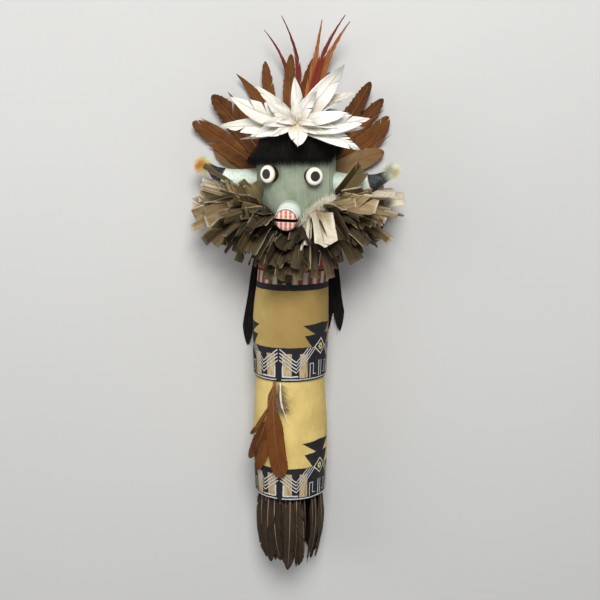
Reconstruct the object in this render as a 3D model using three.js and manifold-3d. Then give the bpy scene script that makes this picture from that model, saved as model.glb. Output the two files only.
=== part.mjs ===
// A carved wooden kachina doll in two painted blanket tiers, with a horned mask, a hair fringe and back hair,
// a fan of brown feathers behind the head, red crest feathers, a white feather rosette, a feather ruff
// round the neck, two feathers hanging from the belt line and a skirt of dark feathers below the hem.
// Millimetres. The doll lies on its back: +Y runs to the head, +X to the right of someone facing it, +Z out
// of the face. Heights along the doll are counted from the lower hem, and the whole is centred at the end.
import * as THREE from 'three';
import { mergeVertices } from 'three/addons/utils/BufferGeometryUtils.js';
import Module from 'manifold-3d';

const wasm = await Module();
wasm.setup();

// Carved figure
const lowerTierHeight = 102;
const upperTierHeight = 74.5;
const chestHeight = 35.5;
const headHeight = 103;
const lowerHemRadius = 30.1;
const lowerTierRadius = 31.5;
const lowerTierTopRadius = 28.6;
const upperHemRadius = 30.6;
const upperTierRadius = 31.7;
const shoulderRadius = 29.9;
const headRadius = 32.2;
const hemEdge = 1.2; // rounding of a blanket's lower edge
const crownRounding = 7;
const restFlatDepth = 0.8; // how deep the flat on the lower tier's back is
const figureSides = 44;
const headLean = 5.3; // the log bends, so the head stands to one side of the hem

// Head fittings
const headYaw = -7; // degrees, the face is turned to -X
const headRoll = -2.5;
const eyeRadius = 6.9;
const eyeStalkRadius = 6.3;
const eyeReach = 7; // how far the eye's face stands off the mask
const eyeRimThickness = 2;
const eyeSpread = 29; // degrees each side of the face's middle
const snoutLength = 21;
const snoutEndRadius = 9;
const snoutRootRadius = 10;
const snoutDrop = 12; // degrees below straight ahead
const mouthGap = 2.2;
const mouthDepth = 4.5;
const hornRootRadius = 9.6;
const hornLength = 42; // how far a horn's point stands off the mask, sideways
const hornLift = 10.5; // how far its point stands above its root
const plumeSize = 8;

// Hair
const fringeThickness = 5.5;
const fringeDrop = 36; // from the crown to the fringe's lower edge
const backHairThickness = 2.2;
const backHairLength = 190;
const backHairRootWidth = 40;
const backHairTipWidth = 90;
const backHairLocks = 9;

// Feathers
const featherThickness = 1.2;
const quillHalfWidth = 1.1;
const fanLayerPitch = 1.5; // from one layer of overlapping feathers to the next
const fanRootRadius = 17;
const fanLift = 11; // how far the longest fan feathers curve up towards the viewer
const ruffFeatherWidth = 16;
const ruffCordRadius = 1.7;
const ruffDrop = 10.5; // the cord's height above the chin, under the snout
const ruffRise = 24; // how much higher it runs at the sides
const ruffLevel = 10; // degrees to either side of the snout that the cord crosses level
const ruffClimb = 16; // degrees in which it climbs most of its rise
const ruffLimit = 126; // degrees, how far it goes round from the front
const skirtLength = 65;
const skirtFeatherWidth = 15;
const skirtFeatherCount = 8; // in each of two rings
const skirtInset = 4.6; // from the lower hem's edge to the outer ring
const skirtRingGap = 3.6;
const hangingLength = 80;
const hangingWidth = 18;

const fitGap = 0.3; // between pieces that touch

const degrees = Math.PI / 180;
const shoulderHeight = lowerTierHeight + upperTierHeight;
const chinHeight = shoulderHeight + chestHeight;
const crownHeight = chinHeight + headHeight;
const bodyAxisZ = lowerTierRadius - restFlatDepth;
const upperBackZ = backHairThickness + fitGap;
const fanLayers = 3; // the crest's feathers lie in front of these in two more
const fanBaseZ = backHairThickness + fitGap + featherThickness / 2;
const headBackZ = fanBaseZ + fanLayerPitch * (fanLayers + 1) + featherThickness / 2 + 2 * fitGap;
const ruffBackZ = headBackZ;
const headAxisZ = bodyAxisZ + headRadius - shoulderRadius - 1;
const faceHeight = chinHeight + 0.54 * headHeight; // eye level

const smooth = (from, to, v) => THREE.MathUtils.smoothstep(v, from, to);
const vec = (x, y, z) => new THREE.Vector3(x, y, z);

// The solid of a closed geometry, and back.
function solidOf(geometry) {
  const bare = new THREE.BufferGeometry();
  bare.setAttribute('position', geometry.getAttribute('position'));
  if (geometry.index) bare.setIndex(geometry.index);
  const merged = mergeVertices(bare, 1e-4);
  return new wasm.Manifold(new wasm.Mesh({
    numProp: 3,
    vertProperties: merged.getAttribute('position').array,
    triVerts: new Uint32Array(merged.index.array),
  }));
}

function geometryOf(solid) {
  const mesh = solid.getMesh();
  const geometry = new THREE.BufferGeometry();
  geometry.setAttribute('position', new THREE.BufferAttribute(new Float32Array(mesh.vertProperties), 3));
  geometry.setIndex(new THREE.BufferAttribute(new Uint32Array(mesh.triVerts), 1));
  return geometry;
}

// A closed skin over rings of points, counter-clockwise about the way the rings run. Each ring has the same
// number of points, and cap lists the triangles that close the last ring.
function skin(rings, cap) {
  const size = rings[0].length;
  const positions = rings.flat().flatMap((p) => [p.x, p.y, p.z]);
  const index = [];
  for (let i = 0; i < rings.length - 1; i++) {
    for (let j = 0; j < size; j++) {
      const a = i * size + j;
      const b = i * size + ((j + 1) % size);
      index.push(a, b, b + size, a, b + size, a + size);
    }
  }
  const last = (rings.length - 1) * size;
  for (const [a, b, c] of cap) {
    index.push(a, c, b);
    index.push(last + a, last + b, last + c);
  }
  const geometry = new THREE.BufferGeometry();
  geometry.setAttribute('position', new THREE.Float32BufferAttribute(positions, 3));
  geometry.setIndex(index);
  return geometry;
}

const fanCap = (size) => Array.from({ length: size - 2 }, (_, i) => [0, i + 1, i + 2]);

const largestOf = (solid) => solid.decompose().sort((a, b) => b.volume() - a.volume())[0];

function box(low, high) {
  const geometry = new THREE.BoxGeometry(high.x - low.x, high.y - low.y, high.z - low.z);
  geometry.translate((low.x + high.x) / 2, (low.y + high.y) / 2, (low.z + high.z) / 2);
  return geometry;
}

// How far the figure's own axis stands to +X at a height.
function leanAt(height) {
  const share = (height - lowerTierHeight) / (chinHeight - lowerTierHeight);
  return headLean * THREE.MathUtils.clamp(share, 0, 1) ** 2.6;
}

// The figure's axis runs at one depth through the body, and steps forward in the head.
const axisDepthAt = (height) =>
  bodyAxisZ + (headAxisZ - bodyAxisZ) * smooth(shoulderHeight, chinHeight, height);

// The figure's outline, as height and radius from the lower hem to the crown.
function figureProfile() {
  const upper = lowerTierHeight;
  return [
    [0, lowerHemRadius - hemEdge],
    [hemEdge, lowerHemRadius],
    [0.25 * upper, (lowerHemRadius + lowerTierRadius) / 2 + 0.3],
    [0.5 * upper, lowerTierRadius],
    [0.68 * upper, lowerTierRadius - 0.7],
    [0.85 * upper, lowerTierTopRadius + 0.9],
    [upper, lowerTierTopRadius],
    [upper + 0.01, upperHemRadius - hemEdge / 2],
    [upper + hemEdge, upperHemRadius],
    [upper + 0.3 * upperTierHeight, (upperHemRadius + upperTierRadius) / 2 + 0.3],
    [upper + 0.6 * upperTierHeight, upperTierRadius],
    [upper + 0.85 * upperTierHeight, (shoulderRadius + upperTierRadius) / 2 + 0.2],
    [shoulderHeight, shoulderRadius],
    [shoulderHeight + 0.5 * chestHeight, shoulderRadius - 0.4],
    [chinHeight - 1.5, shoulderRadius - 0.6],
    [chinHeight + 1.5, headRadius],
    [crownHeight - crownRounding, headRadius],
    [crownHeight - 0.6 * crownRounding, headRadius - 0.09 * crownRounding],
    [crownHeight - 0.25 * crownRounding, headRadius - 0.35 * crownRounding],
    [crownHeight, headRadius - crownRounding],
  ];
}

function figureRing(height, radius) {
  return Array.from({ length: figureSides }, (_, i) => {
    const turn = (2 * Math.PI * i) / figureSides;
    const x = leanAt(height) + radius * Math.cos(turn);
    return vec(x, height, axisDepthAt(height) - radius * Math.sin(turn));
  });
}

function carvedFigure() {
  const rings = figureProfile().map(([height, radius]) => figureRing(height, radius));
  let figure = solidOf(skin(rings, fanCap(figureSides)));
  const wide = 3 * headRadius;
  const cuts = [
    [-1, 0],
    [lowerTierHeight, upperBackZ],
    [chinHeight, headBackZ],
  ];
  for (const [from, depth] of cuts) {
    figure = figure.subtract(solidOf(box(vec(-wide, from, -wide), vec(wide, crownHeight + 1, depth))));
  }
  return geometryOf(figure);
}

// Everything fixed to the mask is made in the head's frame: origin on the mask's axis at eye level.
const headPlace = new THREE.Matrix4()
  .makeTranslation(headLean, faceHeight, headAxisZ)
  .multiply(new THREE.Matrix4().makeRotationZ(headRoll * degrees))
  .multiply(new THREE.Matrix4().makeRotationY(headYaw * degrees));

// The mask's own cylinder, a gap larger, which fittings are cut to: upright, and in the head's frame.
function maskBody() {
  const radius = headRadius + fitGap;
  const cylinder = new THREE.CylinderGeometry(radius, radius, 3 * headHeight, 2 * figureSides);
  cylinder.translate(headLean, faceHeight, headAxisZ);
  return solidOf(cylinder);
}

function maskCutter() {
  const radius = headRadius + fitGap;
  const cylinder = new THREE.CylinderGeometry(radius, radius, 3 * headHeight, 2 * figureSides);
  cylinder.rotateZ(-headRoll * degrees);
  cylinder.rotateY(-headYaw * degrees);
  return solidOf(cylinder);
}

// A bar of round sections, each with its middle, its radius and the direction that it runs in.
function roundBar(stations, sides) {
  const rings = stations.map(({ at, radius, along }) => {
    const side = vec(0, 0, 1).cross(along).normalize();
    if (side.lengthSq() < 0.5) side.set(1, 0, 0);
    const up = along.clone().cross(side).normalize();
    return Array.from({ length: sides }, (_, i) => {
      const angle = (2 * Math.PI * i) / sides;
      const across = side.clone().multiplyScalar(radius * Math.cos(angle));
      return at.clone().add(across).addScaledVector(up, radius * Math.sin(angle));
    });
  });
  return skin(rings, fanCap(sides));
}

// A turned eye: a short stalk with a slightly wider, domed face.
function eye(side) {
  const angle = side * eyeSpread * degrees;
  const along = vec(Math.sin(angle), 0, Math.cos(angle));
  const profile = [
    [headRadius - 4, eyeStalkRadius],
    [headRadius + eyeReach - eyeRimThickness, eyeStalkRadius],
    [headRadius + eyeReach - eyeRimThickness + 0.01, eyeRadius],
    [headRadius + eyeReach - 0.5 * eyeRimThickness, eyeRadius],
    [headRadius + eyeReach, 0.82 * eyeRadius],
    [headRadius + eyeReach + 0.4, 0.4 * eyeRadius],
  ];
  const stations = profile.map(([reach, radius]) => (
    { at: along.clone().multiplyScalar(reach), radius, along }
  ));
  return geometryOf(solidOf(roundBar(stations, 20)).subtract(maskCutter()));
}

// The tube of the beak, made a little larger where ease is given.
const snoutStart = vec(0, -0.22 * headHeight, 0);
function snoutTube(ease = 0) {
  const drop = snoutDrop * degrees;
  const along = vec(0, -Math.sin(drop), Math.cos(drop));
  const end = headRadius + snoutLength + ease;
  const profile = [
    [headRadius - 6, snoutRootRadius + 0.6],
    [headRadius + 0.3 * snoutLength, snoutRootRadius - 0.6],
    [headRadius + 0.7 * snoutLength, snoutEndRadius - 0.2],
    [end - 2, snoutEndRadius],
    [end - 0.6, 0.93 * snoutEndRadius],
    [end, 0.78 * snoutEndRadius],
  ];
  return solidOf(roundBar(profile.map(([reach, radius]) => (
    { at: snoutStart.clone().addScaledVector(along, reach), radius: radius + ease, along }
  )), 24));
}

function snout() {
  const end = headRadius + snoutLength;
  const slit = box(
    vec(-2 * snoutEndRadius, -mouthGap / 2, end - mouthDepth),
    vec(2 * snoutEndRadius, mouthGap / 2, end + mouthDepth),
  );
  slit.rotateX(snoutDrop * degrees);
  slit.translate(snoutStart.x, snoutStart.y, snoutStart.z);
  return geometryOf(snoutTube().subtract(maskCutter()).subtract(solidOf(slit)));
}

// A horn's line, straight out from the mask and turned up at its point.
function hornLine(side) {
  const out = (share) => side * (headRadius + share * hornLength);
  const root = -4;
  return new THREE.CatmullRomCurve3([
    vec(out(-0.25), root, 0),
    vec(out(0.15), root - 1.6, 0.5),
    vec(out(0.55), root - 1.4, 1.5),
    vec(out(0.8), root + 0.25 * hornLift, 2.5),
    vec(out(1), root + hornLift, 3.5),
  ]);
}

function hornCone(side, ease = 0) {
  const line = hornLine(side);
  const steps = 10;
  const stations = Array.from({ length: steps + 1 }, (_, i) => {
    const t = i / steps;
    const fullness = t < 0.6 ? 1 - 0.38 * t : 0.772 * Math.cos(((t - 0.6) / 0.4) * 0.47 * Math.PI);
    return { at: line.getPointAt(t), radius: hornRootRadius * fullness + ease, along: line.getTangentAt(t) };
  });
  return solidOf(roundBar(stations, 16));
}

const horn = (side) => geometryOf(hornCone(side).subtract(maskCutter()));

// A tuft of down on a horn's point.
function plume(side) {
  const tip = hornLine(side).getPointAt(1);
  const tuft = new THREE.IcosahedronGeometry(plumeSize, 2);
  const place = tuft.getAttribute('position');
  const p = vec();
  for (let i = 0; i < place.count; i++) {
    p.fromBufferAttribute(place, i);
    const swell = 1 + 0.13 * Math.sin(0.9 * p.x + 1.3 * p.y) * Math.cos(0.8 * p.z - 0.5 * p.x);
    place.setXYZ(i, 1.15 * swell * p.x, 0.85 * swell * p.y, 0.7 * swell * p.z);
  }
  tuft.translate(tip.x + side * 0.45 * plumeSize, tip.y + 0.2 * plumeSize, tip.z);
  const line = hornLine(side);
  const stations = [0.5, 0.7, 0.85, 1].map((t) => ({
    at: line.getPointAt(t),
    radius: hornRootRadius * (1.02 - 0.8 * t) + 3 * fitGap,
    along: line.getTangentAt(t),
  }));
  return geometryOf(largestOf(solidOf(tuft).subtract(solidOf(roundBar(stations, 12)))));
}

// The wig's cap and fringe over the crown and brow, open behind where the fan is.
function hairFringe() {
  const outer = headRadius + fringeThickness;
  const inner = headRadius + fitGap;
  const top = crownHeight + fitGap;
  const points = [
    [inner, crownHeight - fringeDrop],
    [outer - 1, crownHeight - fringeDrop],
    [outer, crownHeight - fringeDrop + 2],
    [outer, top - 8],
    [outer - 3, top - 1],
    [outer - 9, top + 0.6 * fringeThickness],
    [0.4 * outer, top + 0.9 * fringeThickness],
    [0, top + fringeThickness],
    [0, top],
    [inner, top],
    [inner, crownHeight - fringeDrop],
  ].map(([x, y]) => new THREE.Vector2(x, y));
  const cap = new THREE.LatheGeometry(points, figureSides);
  cap.translate(headLean, 0, headAxisZ);
  const wide = 3 * outer;
  const behind = box(vec(-wide, 0, -wide), vec(wide, 2 * crownHeight, headBackZ));
  return geometryOf(solidOf(cap).subtract(solidOf(behind)));
}

// The long hair that lies flat behind the neck and back, ending in separate locks.
function backHair() {
  const top = crownHeight - 12;
  const widthAt = (share) => THREE.MathUtils.lerp(backHairRootWidth, backHairTipWidth, smooth(0, 1, share));
  const centreAt = (share) => THREE.MathUtils.lerp(headLean, 0.6 * headLean, share);
  const shape = new THREE.Shape();
  const steps = 6;
  for (let i = 0; i <= steps; i++) {
    const share = i / steps;
    const x = centreAt(share) - widthAt(share) / 2;
    const y = top - share * 0.86 * backHairLength;
    if (i === 0) shape.moveTo(x, y);
    else shape.lineTo(x, y);
  }
  for (let i = 0; i < backHairLocks; i++) {
    const at = (share) => centreAt(1) - backHairTipWidth / 2 + (backHairTipWidth * share) / backHairLocks;
    const reach = backHairLength * (0.955 + 0.045 * Math.cos(2.1 * i));
    shape.lineTo(at(i + 0.5), top - reach);
    if (i < backHairLocks - 1) shape.lineTo(at(i + 1), top - 0.9 * backHairLength);
  }
  for (let i = steps; i >= 0; i--) {
    const share = i / steps;
    shape.lineTo(centreAt(share) + widthAt(share) / 2, top - share * 0.86 * backHairLength);
  }
  return new THREE.ExtrudeGeometry(shape, { depth: backHairThickness, bevelEnabled: false });
}

// Half the width of a feather's vane along its length, as a share of its widest half.
const vaneShapes = {
  rounded: (t) => (t < 0.7 ? 1 : Math.sqrt(Math.max(0, 1 - ((t - 0.7) / 0.3) ** 2))),
  pointed: (t) => (t < 0.45 ? 1 : 1 - ((t - 0.45) / 0.55) ** 1.5),
  slender: (t) => (t < 0.6 ? 1 : 1 - 0.9 * ((t - 0.6) / 0.4)),
  cut: () => 1,
};

// One feather as a thin closed blade. spine(t) gives its middle line from quill to tip, face(t) the way it
// faces, cup lifts its edges towards that side, and bare is the share of its length that is naked quill.
function blade({ spine, face, width, shape, cup = 0, bare, sections = 6, thickness = featherThickness }) {
  const rings = Array.from({ length: sections + 1 }, (_, i) => {
    const t = i / sections;
    const step = 1e-3;
    const along = spine(Math.min(1, t + step)).sub(spine(Math.max(0, t - step))).normalize();
    const side = along.clone().cross(face(t)).normalize();
    const up = side.clone().cross(along).normalize();
    const half = width / 2;
    const vane = Math.max(0.3, half * vaneShapes[shape](t)) * smooth(bare * 0.5, bare + 0.22, t);
    const reach = Math.max(vane, quillHalfWidth * (1 - 0.6 * t));
    const lift = cup * (reach / half) ** 2;
    const deep = (thickness / 2) * (1 - 0.45 * t);
    const middle = spine(t);
    return [
      middle.clone().addScaledVector(side, -reach).addScaledVector(up, lift),
      middle.clone().addScaledVector(up, deep),
      middle.clone().addScaledVector(side, reach).addScaledVector(up, lift),
      middle.clone().addScaledVector(up, -deep),
    ];
  });
  return skin(rings, [[0, 1, 3], [1, 2, 3]]);
}

// The fan behind the head: angle from +X, length from the fan's middle, width and sideways bend of each.
const fanMiddle = vec(2, chinHeight + 0.41 * headHeight, 0);
const fanFeathers = [
  { angle: 153, length: 74, width: 20, bend: -2, shape: 'rounded' },
  { angle: 146, length: 100, width: 20, bend: -2, shape: 'rounded' },
  { angle: 130.5, length: 102, width: 20, bend: -2, shape: 'rounded' },
  { angle: 116, length: 106, width: 11, bend: -12, shape: 'pointed' },
  { angle: 102, length: 107, width: 11, bend: 4, shape: 'rounded' },
  { angle: 90.5, length: 110, width: 12, bend: 3, shape: 'rounded' },
  { angle: 80, length: 110, width: 15, bend: 2, shape: 'rounded' },
  { angle: 72, length: 101, width: 12, bend: 4, shape: 'rounded' },
  { angle: 54, length: 109, width: 14, bend: -5, shape: 'rounded' },
  { angle: 45, length: 106, width: 15, bend: -4, shape: 'rounded' },
  { angle: 37.5, length: 100, width: 20, bend: -12, shape: 'rounded' },
  { angle: 22.5, length: 83, width: 19, bend: 2, shape: 'rounded' },
];
const crestSpikes = [
  { angle: 100, length: 130, width: 4.6, bend: -22, layer: 3, color: 'red' },
  { angle: 93.5, length: 138, width: 4.6, bend: -19, layer: 4, color: 'red' },
  { angle: 80, length: 137, width: 6.4, bend: 0, layer: 3, color: 'orange' },
  { angle: 73, length: 144, width: 5.6, bend: 15, layer: 4, color: 'red' },
  { angle: 71, length: 141, width: 7.4, bend: 14, layer: 2, color: 'orange' },
];
const fanReach = 118;
const fanFlat = crownHeight + fringeThickness - fanMiddle.y; // up to here the fan lies flat on the mask

// A spine that runs out from the fan's middle on one shared curved surface, so that layers never cross.
function fanSpine({ angle, length, bend }, layer) {
  const out = vec(Math.cos(angle * degrees), Math.sin(angle * degrees), 0);
  const across = vec(-out.y, out.x, 0);
  return (t) => {
    const r = THREE.MathUtils.lerp(fanRootRadius, length, t);
    const sway = bend * Math.sin(Math.PI * t) * t;
    const p = fanMiddle.clone().addScaledVector(out, r).addScaledVector(across, sway);
    const share = Math.max(0, (p.distanceTo(fanMiddle) - fanFlat) / (fanReach - fanFlat));
    p.z = fanBaseZ + layer * fanLayerPitch + fanLift * share ** 2;
    return p;
  };
}

function fanFeather(feather, layer) {
  const { width, shape } = feather;
  return blade({ spine: fanSpine(feather, layer), face: () => vec(0, 0, 1), width, shape, bare: 0.12 });
}

function crestSpike(feather) {
  return blade({
    spine: fanSpine(feather, feather.layer),
    face: () => vec(0, 0, 1),
    width: feather.width,
    shape: 'slender',
    bare: 0.1,
  });
}

// The white rosette on the brow: angle from +X, length, width and tilt towards the viewer of each feather.
const rosetteFeathers = [
  { angle: 159, length: 54, width: 16, tilt: 14 },
  { angle: 138, length: 42, width: 10, tilt: 3 },
  { angle: 182, length: 60, width: 13, tilt: 5 },
  { angle: 195, length: 46, width: 5, tilt: -5 },
  { angle: 197, length: 38, width: 12, tilt: 21 },
  { angle: 184, length: 32, width: 9, tilt: 36 },
  { angle: 93, length: 35, width: 11, tilt: 22 },
  { angle: 50, length: 56, width: 17, tilt: 13 },
  { angle: 27, length: 51, width: 10, tilt: 1 },
  { angle: 3, length: 56, width: 16, tilt: 15 },
  { angle: -4, length: 52, width: 11, tilt: 1 },
  { angle: -23, length: 53, width: 14, tilt: 9 },
  { angle: -8, length: 21, width: 6, tilt: 42 },
  { angle: -89, length: 26, width: 16, tilt: 50 },
];
const rosetteRoot = 7;
const rosetteHeight = crownHeight - 8;
const rosetteMiddle = vec(headLean + 0.6, rosetteHeight, headAxisZ + headRadius + fringeThickness + 1.2);

function rosetteFeather({ angle, length, width, tilt }) {
  const flat = vec(Math.cos(angle * degrees), Math.sin(angle * degrees), 0);
  const out = flat.clone().multiplyScalar(Math.cos(tilt * degrees)).setZ(Math.sin(tilt * degrees));
  const face = flat.clone().multiplyScalar(-Math.sin(tilt * degrees)).setZ(Math.cos(tilt * degrees));
  const spine = (t) => rosetteMiddle.clone()
    .addScaledVector(out, THREE.MathUtils.lerp(rosetteRoot, length, t))
    .addScaledVector(face, -0.06 * length * t * t);
  const cup = 0.13 * width;
  return blade({ spine, face: () => face, width, shape: 'pointed', cup, bare: 0.05, thickness: 1 });
}

// The ruff's cord: round the mask, close under the snout and level with the horns' roots at the sides.
function ruffCordPoint(turn) {
  const radius = headRadius + fitGap + ruffCordRadius;
  const beside = Math.max(0, Math.abs(turn - headYaw) - ruffLevel);
  const rise = ruffRise * (1 - Math.exp(-beside / ruffClimb));
  return vec(
    headLean + radius * Math.sin(turn * degrees),
    chinHeight + ruffDrop + rise,
    headAxisZ + radius * Math.cos(turn * degrees),
  );
}

function ruffCord() {
  const steps = 32;
  const rings = Array.from({ length: steps + 1 }, (_, i) => {
    const turn = THREE.MathUtils.lerp(-ruffLimit, ruffLimit, i / steps);
    const at = ruffCordPoint(turn);
    const out = vec(Math.sin(turn * degrees), 0, Math.cos(turn * degrees));
    return Array.from({ length: 6 }, (_, j) => {
      const angle = (2 * Math.PI * j) / 6;
      return at.clone()
        .addScaledVector(out, ruffCordRadius * Math.cos(angle))
        .addScaledVector(vec(0, -1, 0), ruffCordRadius * Math.sin(angle));
    });
  });
  return skin(rings, fanCap(6));
}

// Each ruff feather: where it is tied, the way it points, both in degrees round from the front, its tilt up
// the doll, its length and how far it is rolled about its own quill.
const ruffFeathers = [
  [-66, -50, 41, 25, -30], [-54, -40, 55, 20, -18], [-72, -62, 16, 34, 24], [-84, -82, 21, 45, -14],
  [-90, -83, 3, 45, 20], [-76, -68, -11, 43, -24], [-96, -89, -6, 51, 10], [-86, -83, -17, 55, -20],
  [-58, -50, -24, 47, 30], [-70, -71, -39, 53, -16], [-88, -92, -57, 49, 12], [-64, -59, -64, 49, -22],
  [-34, -24, -9, 38, 32], [-40, -34, -41, 47, -26], [-24, -36, -55, 55, 18], [-12, -26, -32, 44, -30],
  [-4, -15, -49, 47, 14], [6, -12, -35, 45, -22], [12, -4, -58, 55, 20], [28, 9, -40, 50, -10],
  [18, -2, -73, 53, 8], [24, 36, -56, 60, -20], [38, 30, -36, 47, 26], [46, 58, -55, 55, 16],
  [54, 60, -38, 54, -18], [50, 48, -5, 43, 28], [70, 74, -25, 54, -24], [64, 60, -13, 47, 18],
  [80, 80, -4, 54, -12], [88, 82, 11, 53, 22], [92, 88, 27, 51, -20], [66, 56, 16, 36, -28],
  [60, 63, 49, 37, 24], [-104, -92, 14, 46, -16], [-110, -94, -22, 49, 14], [-118, -95, -1, 44, -10],
  [104, 92, 6, 50, 18], [110, 94, -20, 49, -12], [118, 95, 14, 44, 10], [96, 90, -51, 47, -14],
  [-14, 4, -70, 42, -12], [42, 44, -74, 51, 12],
];

function ruffFeather([turn, aim, tilt, length, roll]) {
  const root = ruffCordPoint(turn);
  const [level, rise] = [Math.cos(tilt * degrees), Math.sin(tilt * degrees)];
  const out = vec(level * Math.sin(aim * degrees), rise, level * Math.cos(aim * degrees));
  const face = vec(0, 1, 0).projectOnPlane(out).normalize().applyAxisAngle(out, roll * degrees);
  const curl = -0.05 * length;
  const spine = (t) => root.clone().addScaledVector(out, length * t).addScaledVector(face, curl * t * t);
  const width = ruffFeatherWidth;
  return blade({ spine, face: () => face, width, shape: 'cut', cup: 3, bare: 0.1, sections: 2 });
}

function ruff() {
  const cord = solidOf(ruffCord());
  const tied = ruffFeathers.reduce((all, feather) => all.add(solidOf(ruffFeather(feather))), cord);
  const behind = box(vec(-500, 0, -500), vec(500, crownHeight, ruffBackZ));
  const ease = 2 * fitGap;
  const fittings = [snoutTube(ease), hornCone(-1, ease), hornCone(1, ease)]
    .map((fitting) => fitting.transform(headPlace.elements));
  const clear = [solidOf(behind), maskBody(), ...fittings].reduce((all, cut) => all.subtract(cut), tied);
  return geometryOf(largestOf(clear));
}

// The skirt: two rings of long feathers under the lower hem, drawn in a little at their tips.
function skirtFeather(ring, i) {
  const turn = (2 * Math.PI * (i + 0.5 * ring)) / skirtFeatherCount;
  const radius = lowerHemRadius - skirtInset - ring * skirtRingGap;
  const out = vec(Math.sin(turn), 0, Math.cos(turn));
  const length = skirtLength * (0.965 + 0.035 * Math.cos(3.1 * i + ring));
  const spine = (t) => vec(0, -fitGap - length * t, bodyAxisZ)
    .addScaledVector(out, radius * (1 + 0.05 * Math.sin(Math.PI * t) - 0.24 * t ** 3));
  return blade({
    spine,
    face: () => out,
    width: skirtFeatherWidth,
    shape: 'pointed',
    cup: -(skirtFeatherWidth ** 2) / (8 * radius),
    bare: 0,
    sections: 6,
  });
}

// Two feathers tucked under the upper hem, which lie over the front of the lower tier.
const hangingFeathers = [
  { root: [-9, 0], tip: [-8.5, -1], width: 1, bend: -3, layer: 1, shape: 'rounded' },
  { root: [-12, 0], tip: [-30, 0.9], width: 0.8, bend: -1, layer: 0, shape: 'rounded' },
];

function hangingFeather({ root, tip, width, bend, layer, shape }) {
  const top = lowerTierHeight - fitGap;
  const length = hangingLength * (layer ? 1 : 0.86);
  const spine = (t) => {
    const height = top - length * t;
    const x = THREE.MathUtils.lerp(root[0], tip[0], t) + bend * Math.sin(Math.PI * t);
    const clear = lowerTierRadius + fitGap + featherThickness / 2 + layer * fanLayerPitch;
    const away = layer ? 0 : 0.4 + 0.5 * Math.max(0, Math.abs(x) - 17);
    const start = lowerTierTopRadius + fitGap + featherThickness / 2 + layer * 1.6;
    const reach = THREE.MathUtils.lerp(start, clear, smooth(0, 0.35, t));
    const drop = Math.sqrt(Math.max(0, reach ** 2 - Math.min(Math.abs(x), reach - 1) ** 2));
    return vec(x, height, bodyAxisZ + drop + away);
  };
  const face = (t) => {
    const p = spine(t);
    return vec(0.6 * p.x, 0, p.z - bodyAxisZ).normalize();
  };
  return blade({ spine, face, width: hangingWidth * width, shape, cup: -1.2, bare: 0.1, sections: 9 });
}

const finishes = {
  paint: { color: '#c9ab64', roughness: 0.75 },
  mask: { color: '#9db8a4', roughness: 0.6 },
  eyePaint: { color: '#ece4d2', roughness: 0.4 },
  beakPaint: { color: '#b5483c', roughness: 0.6 },
  hair: { color: '#141010', roughness: 0.7 },
  rust: { color: '#8a4a22', roughness: 0.7 },
  red: { color: '#8e2418', roughness: 0.6 },
  orange: { color: '#b5521f', roughness: 0.6 },
  white: { color: '#ece8dc', roughness: 0.8 },
  ruff: { color: '#6f5b45', roughness: 0.75 },
  skirt: { color: '#4a3524', roughness: 0.7 },
  down: { color: '#d9b867', roughness: 0.95 },
};
const materials = Object.fromEntries(Object.entries(finishes).map(([name, look]) => [
  name,
  new THREE.MeshStandardMaterial({ ...look, metalness: 0 }),
]));

const doll = new THREE.Group();

function add(name, geometry, material, parent = doll) {
  const mesh = new THREE.Mesh(geometry, materials[material]);
  mesh.name = name;
  parent.add(mesh);
}

const number = (i) => String(i + 1).padStart(2, '0');

const head = new THREE.Group();
headPlace.decompose(head.position, head.quaternion, head.scale);
doll.add(head);

add('carved_figure', carvedFigure(), 'paint');
add('snout', snout(), 'beakPaint', head);
for (const [name, side] of [['left', -1], ['right', 1]]) {
  add(`eye_${name}`, eye(side), 'eyePaint', head);
  add(`horn_${name}`, horn(side), 'mask', head);
  add(`horn_plume_${name}`, plume(side), 'down', head);
}
add('hair_fringe', hairFringe(), 'hair');
add('hair_back', backHair(), 'hair');
fanFeathers.forEach((feather, i) => {
  add(`fan_feather_${number(i)}`, fanFeather(feather, i % fanLayers), 'rust');
});
crestSpikes.forEach((spike, i) => {
  add(`crest_spike_${i + 1}`, crestSpike(spike), spike.color);
});
rosetteFeathers.forEach((feather, i) => {
  add(`rosette_feather_${number(i)}`, rosetteFeather(feather), 'white');
});
add('ruff', ruff(), 'ruff');
hangingFeathers.forEach((feather, i) => add(`hanging_feather_${i + 1}`, hangingFeather(feather), 'rust'));
for (const ring of [0, 1]) {
  for (let i = 0; i < skirtFeatherCount; i++) {
    add(`skirt_feather_${number(ring * skirtFeatherCount + i)}`, skirtFeather(ring, i), 'skirt');
  }
}

// The origin is the middle of the doll's box, on the surface that it lies on.
const extent = new THREE.Box3().setFromObject(doll);
doll.position.set(-(extent.min.x + extent.max.x) / 2, -(extent.min.y + extent.max.y) / 2, -extent.min.z);

export default doll;
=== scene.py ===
# A carved and painted wooden kachina doll with a feather ruff, crest, fan and skirt, lying on its back.
import math, random
import bpy
from mathutils import Vector, Matrix, noise


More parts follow.
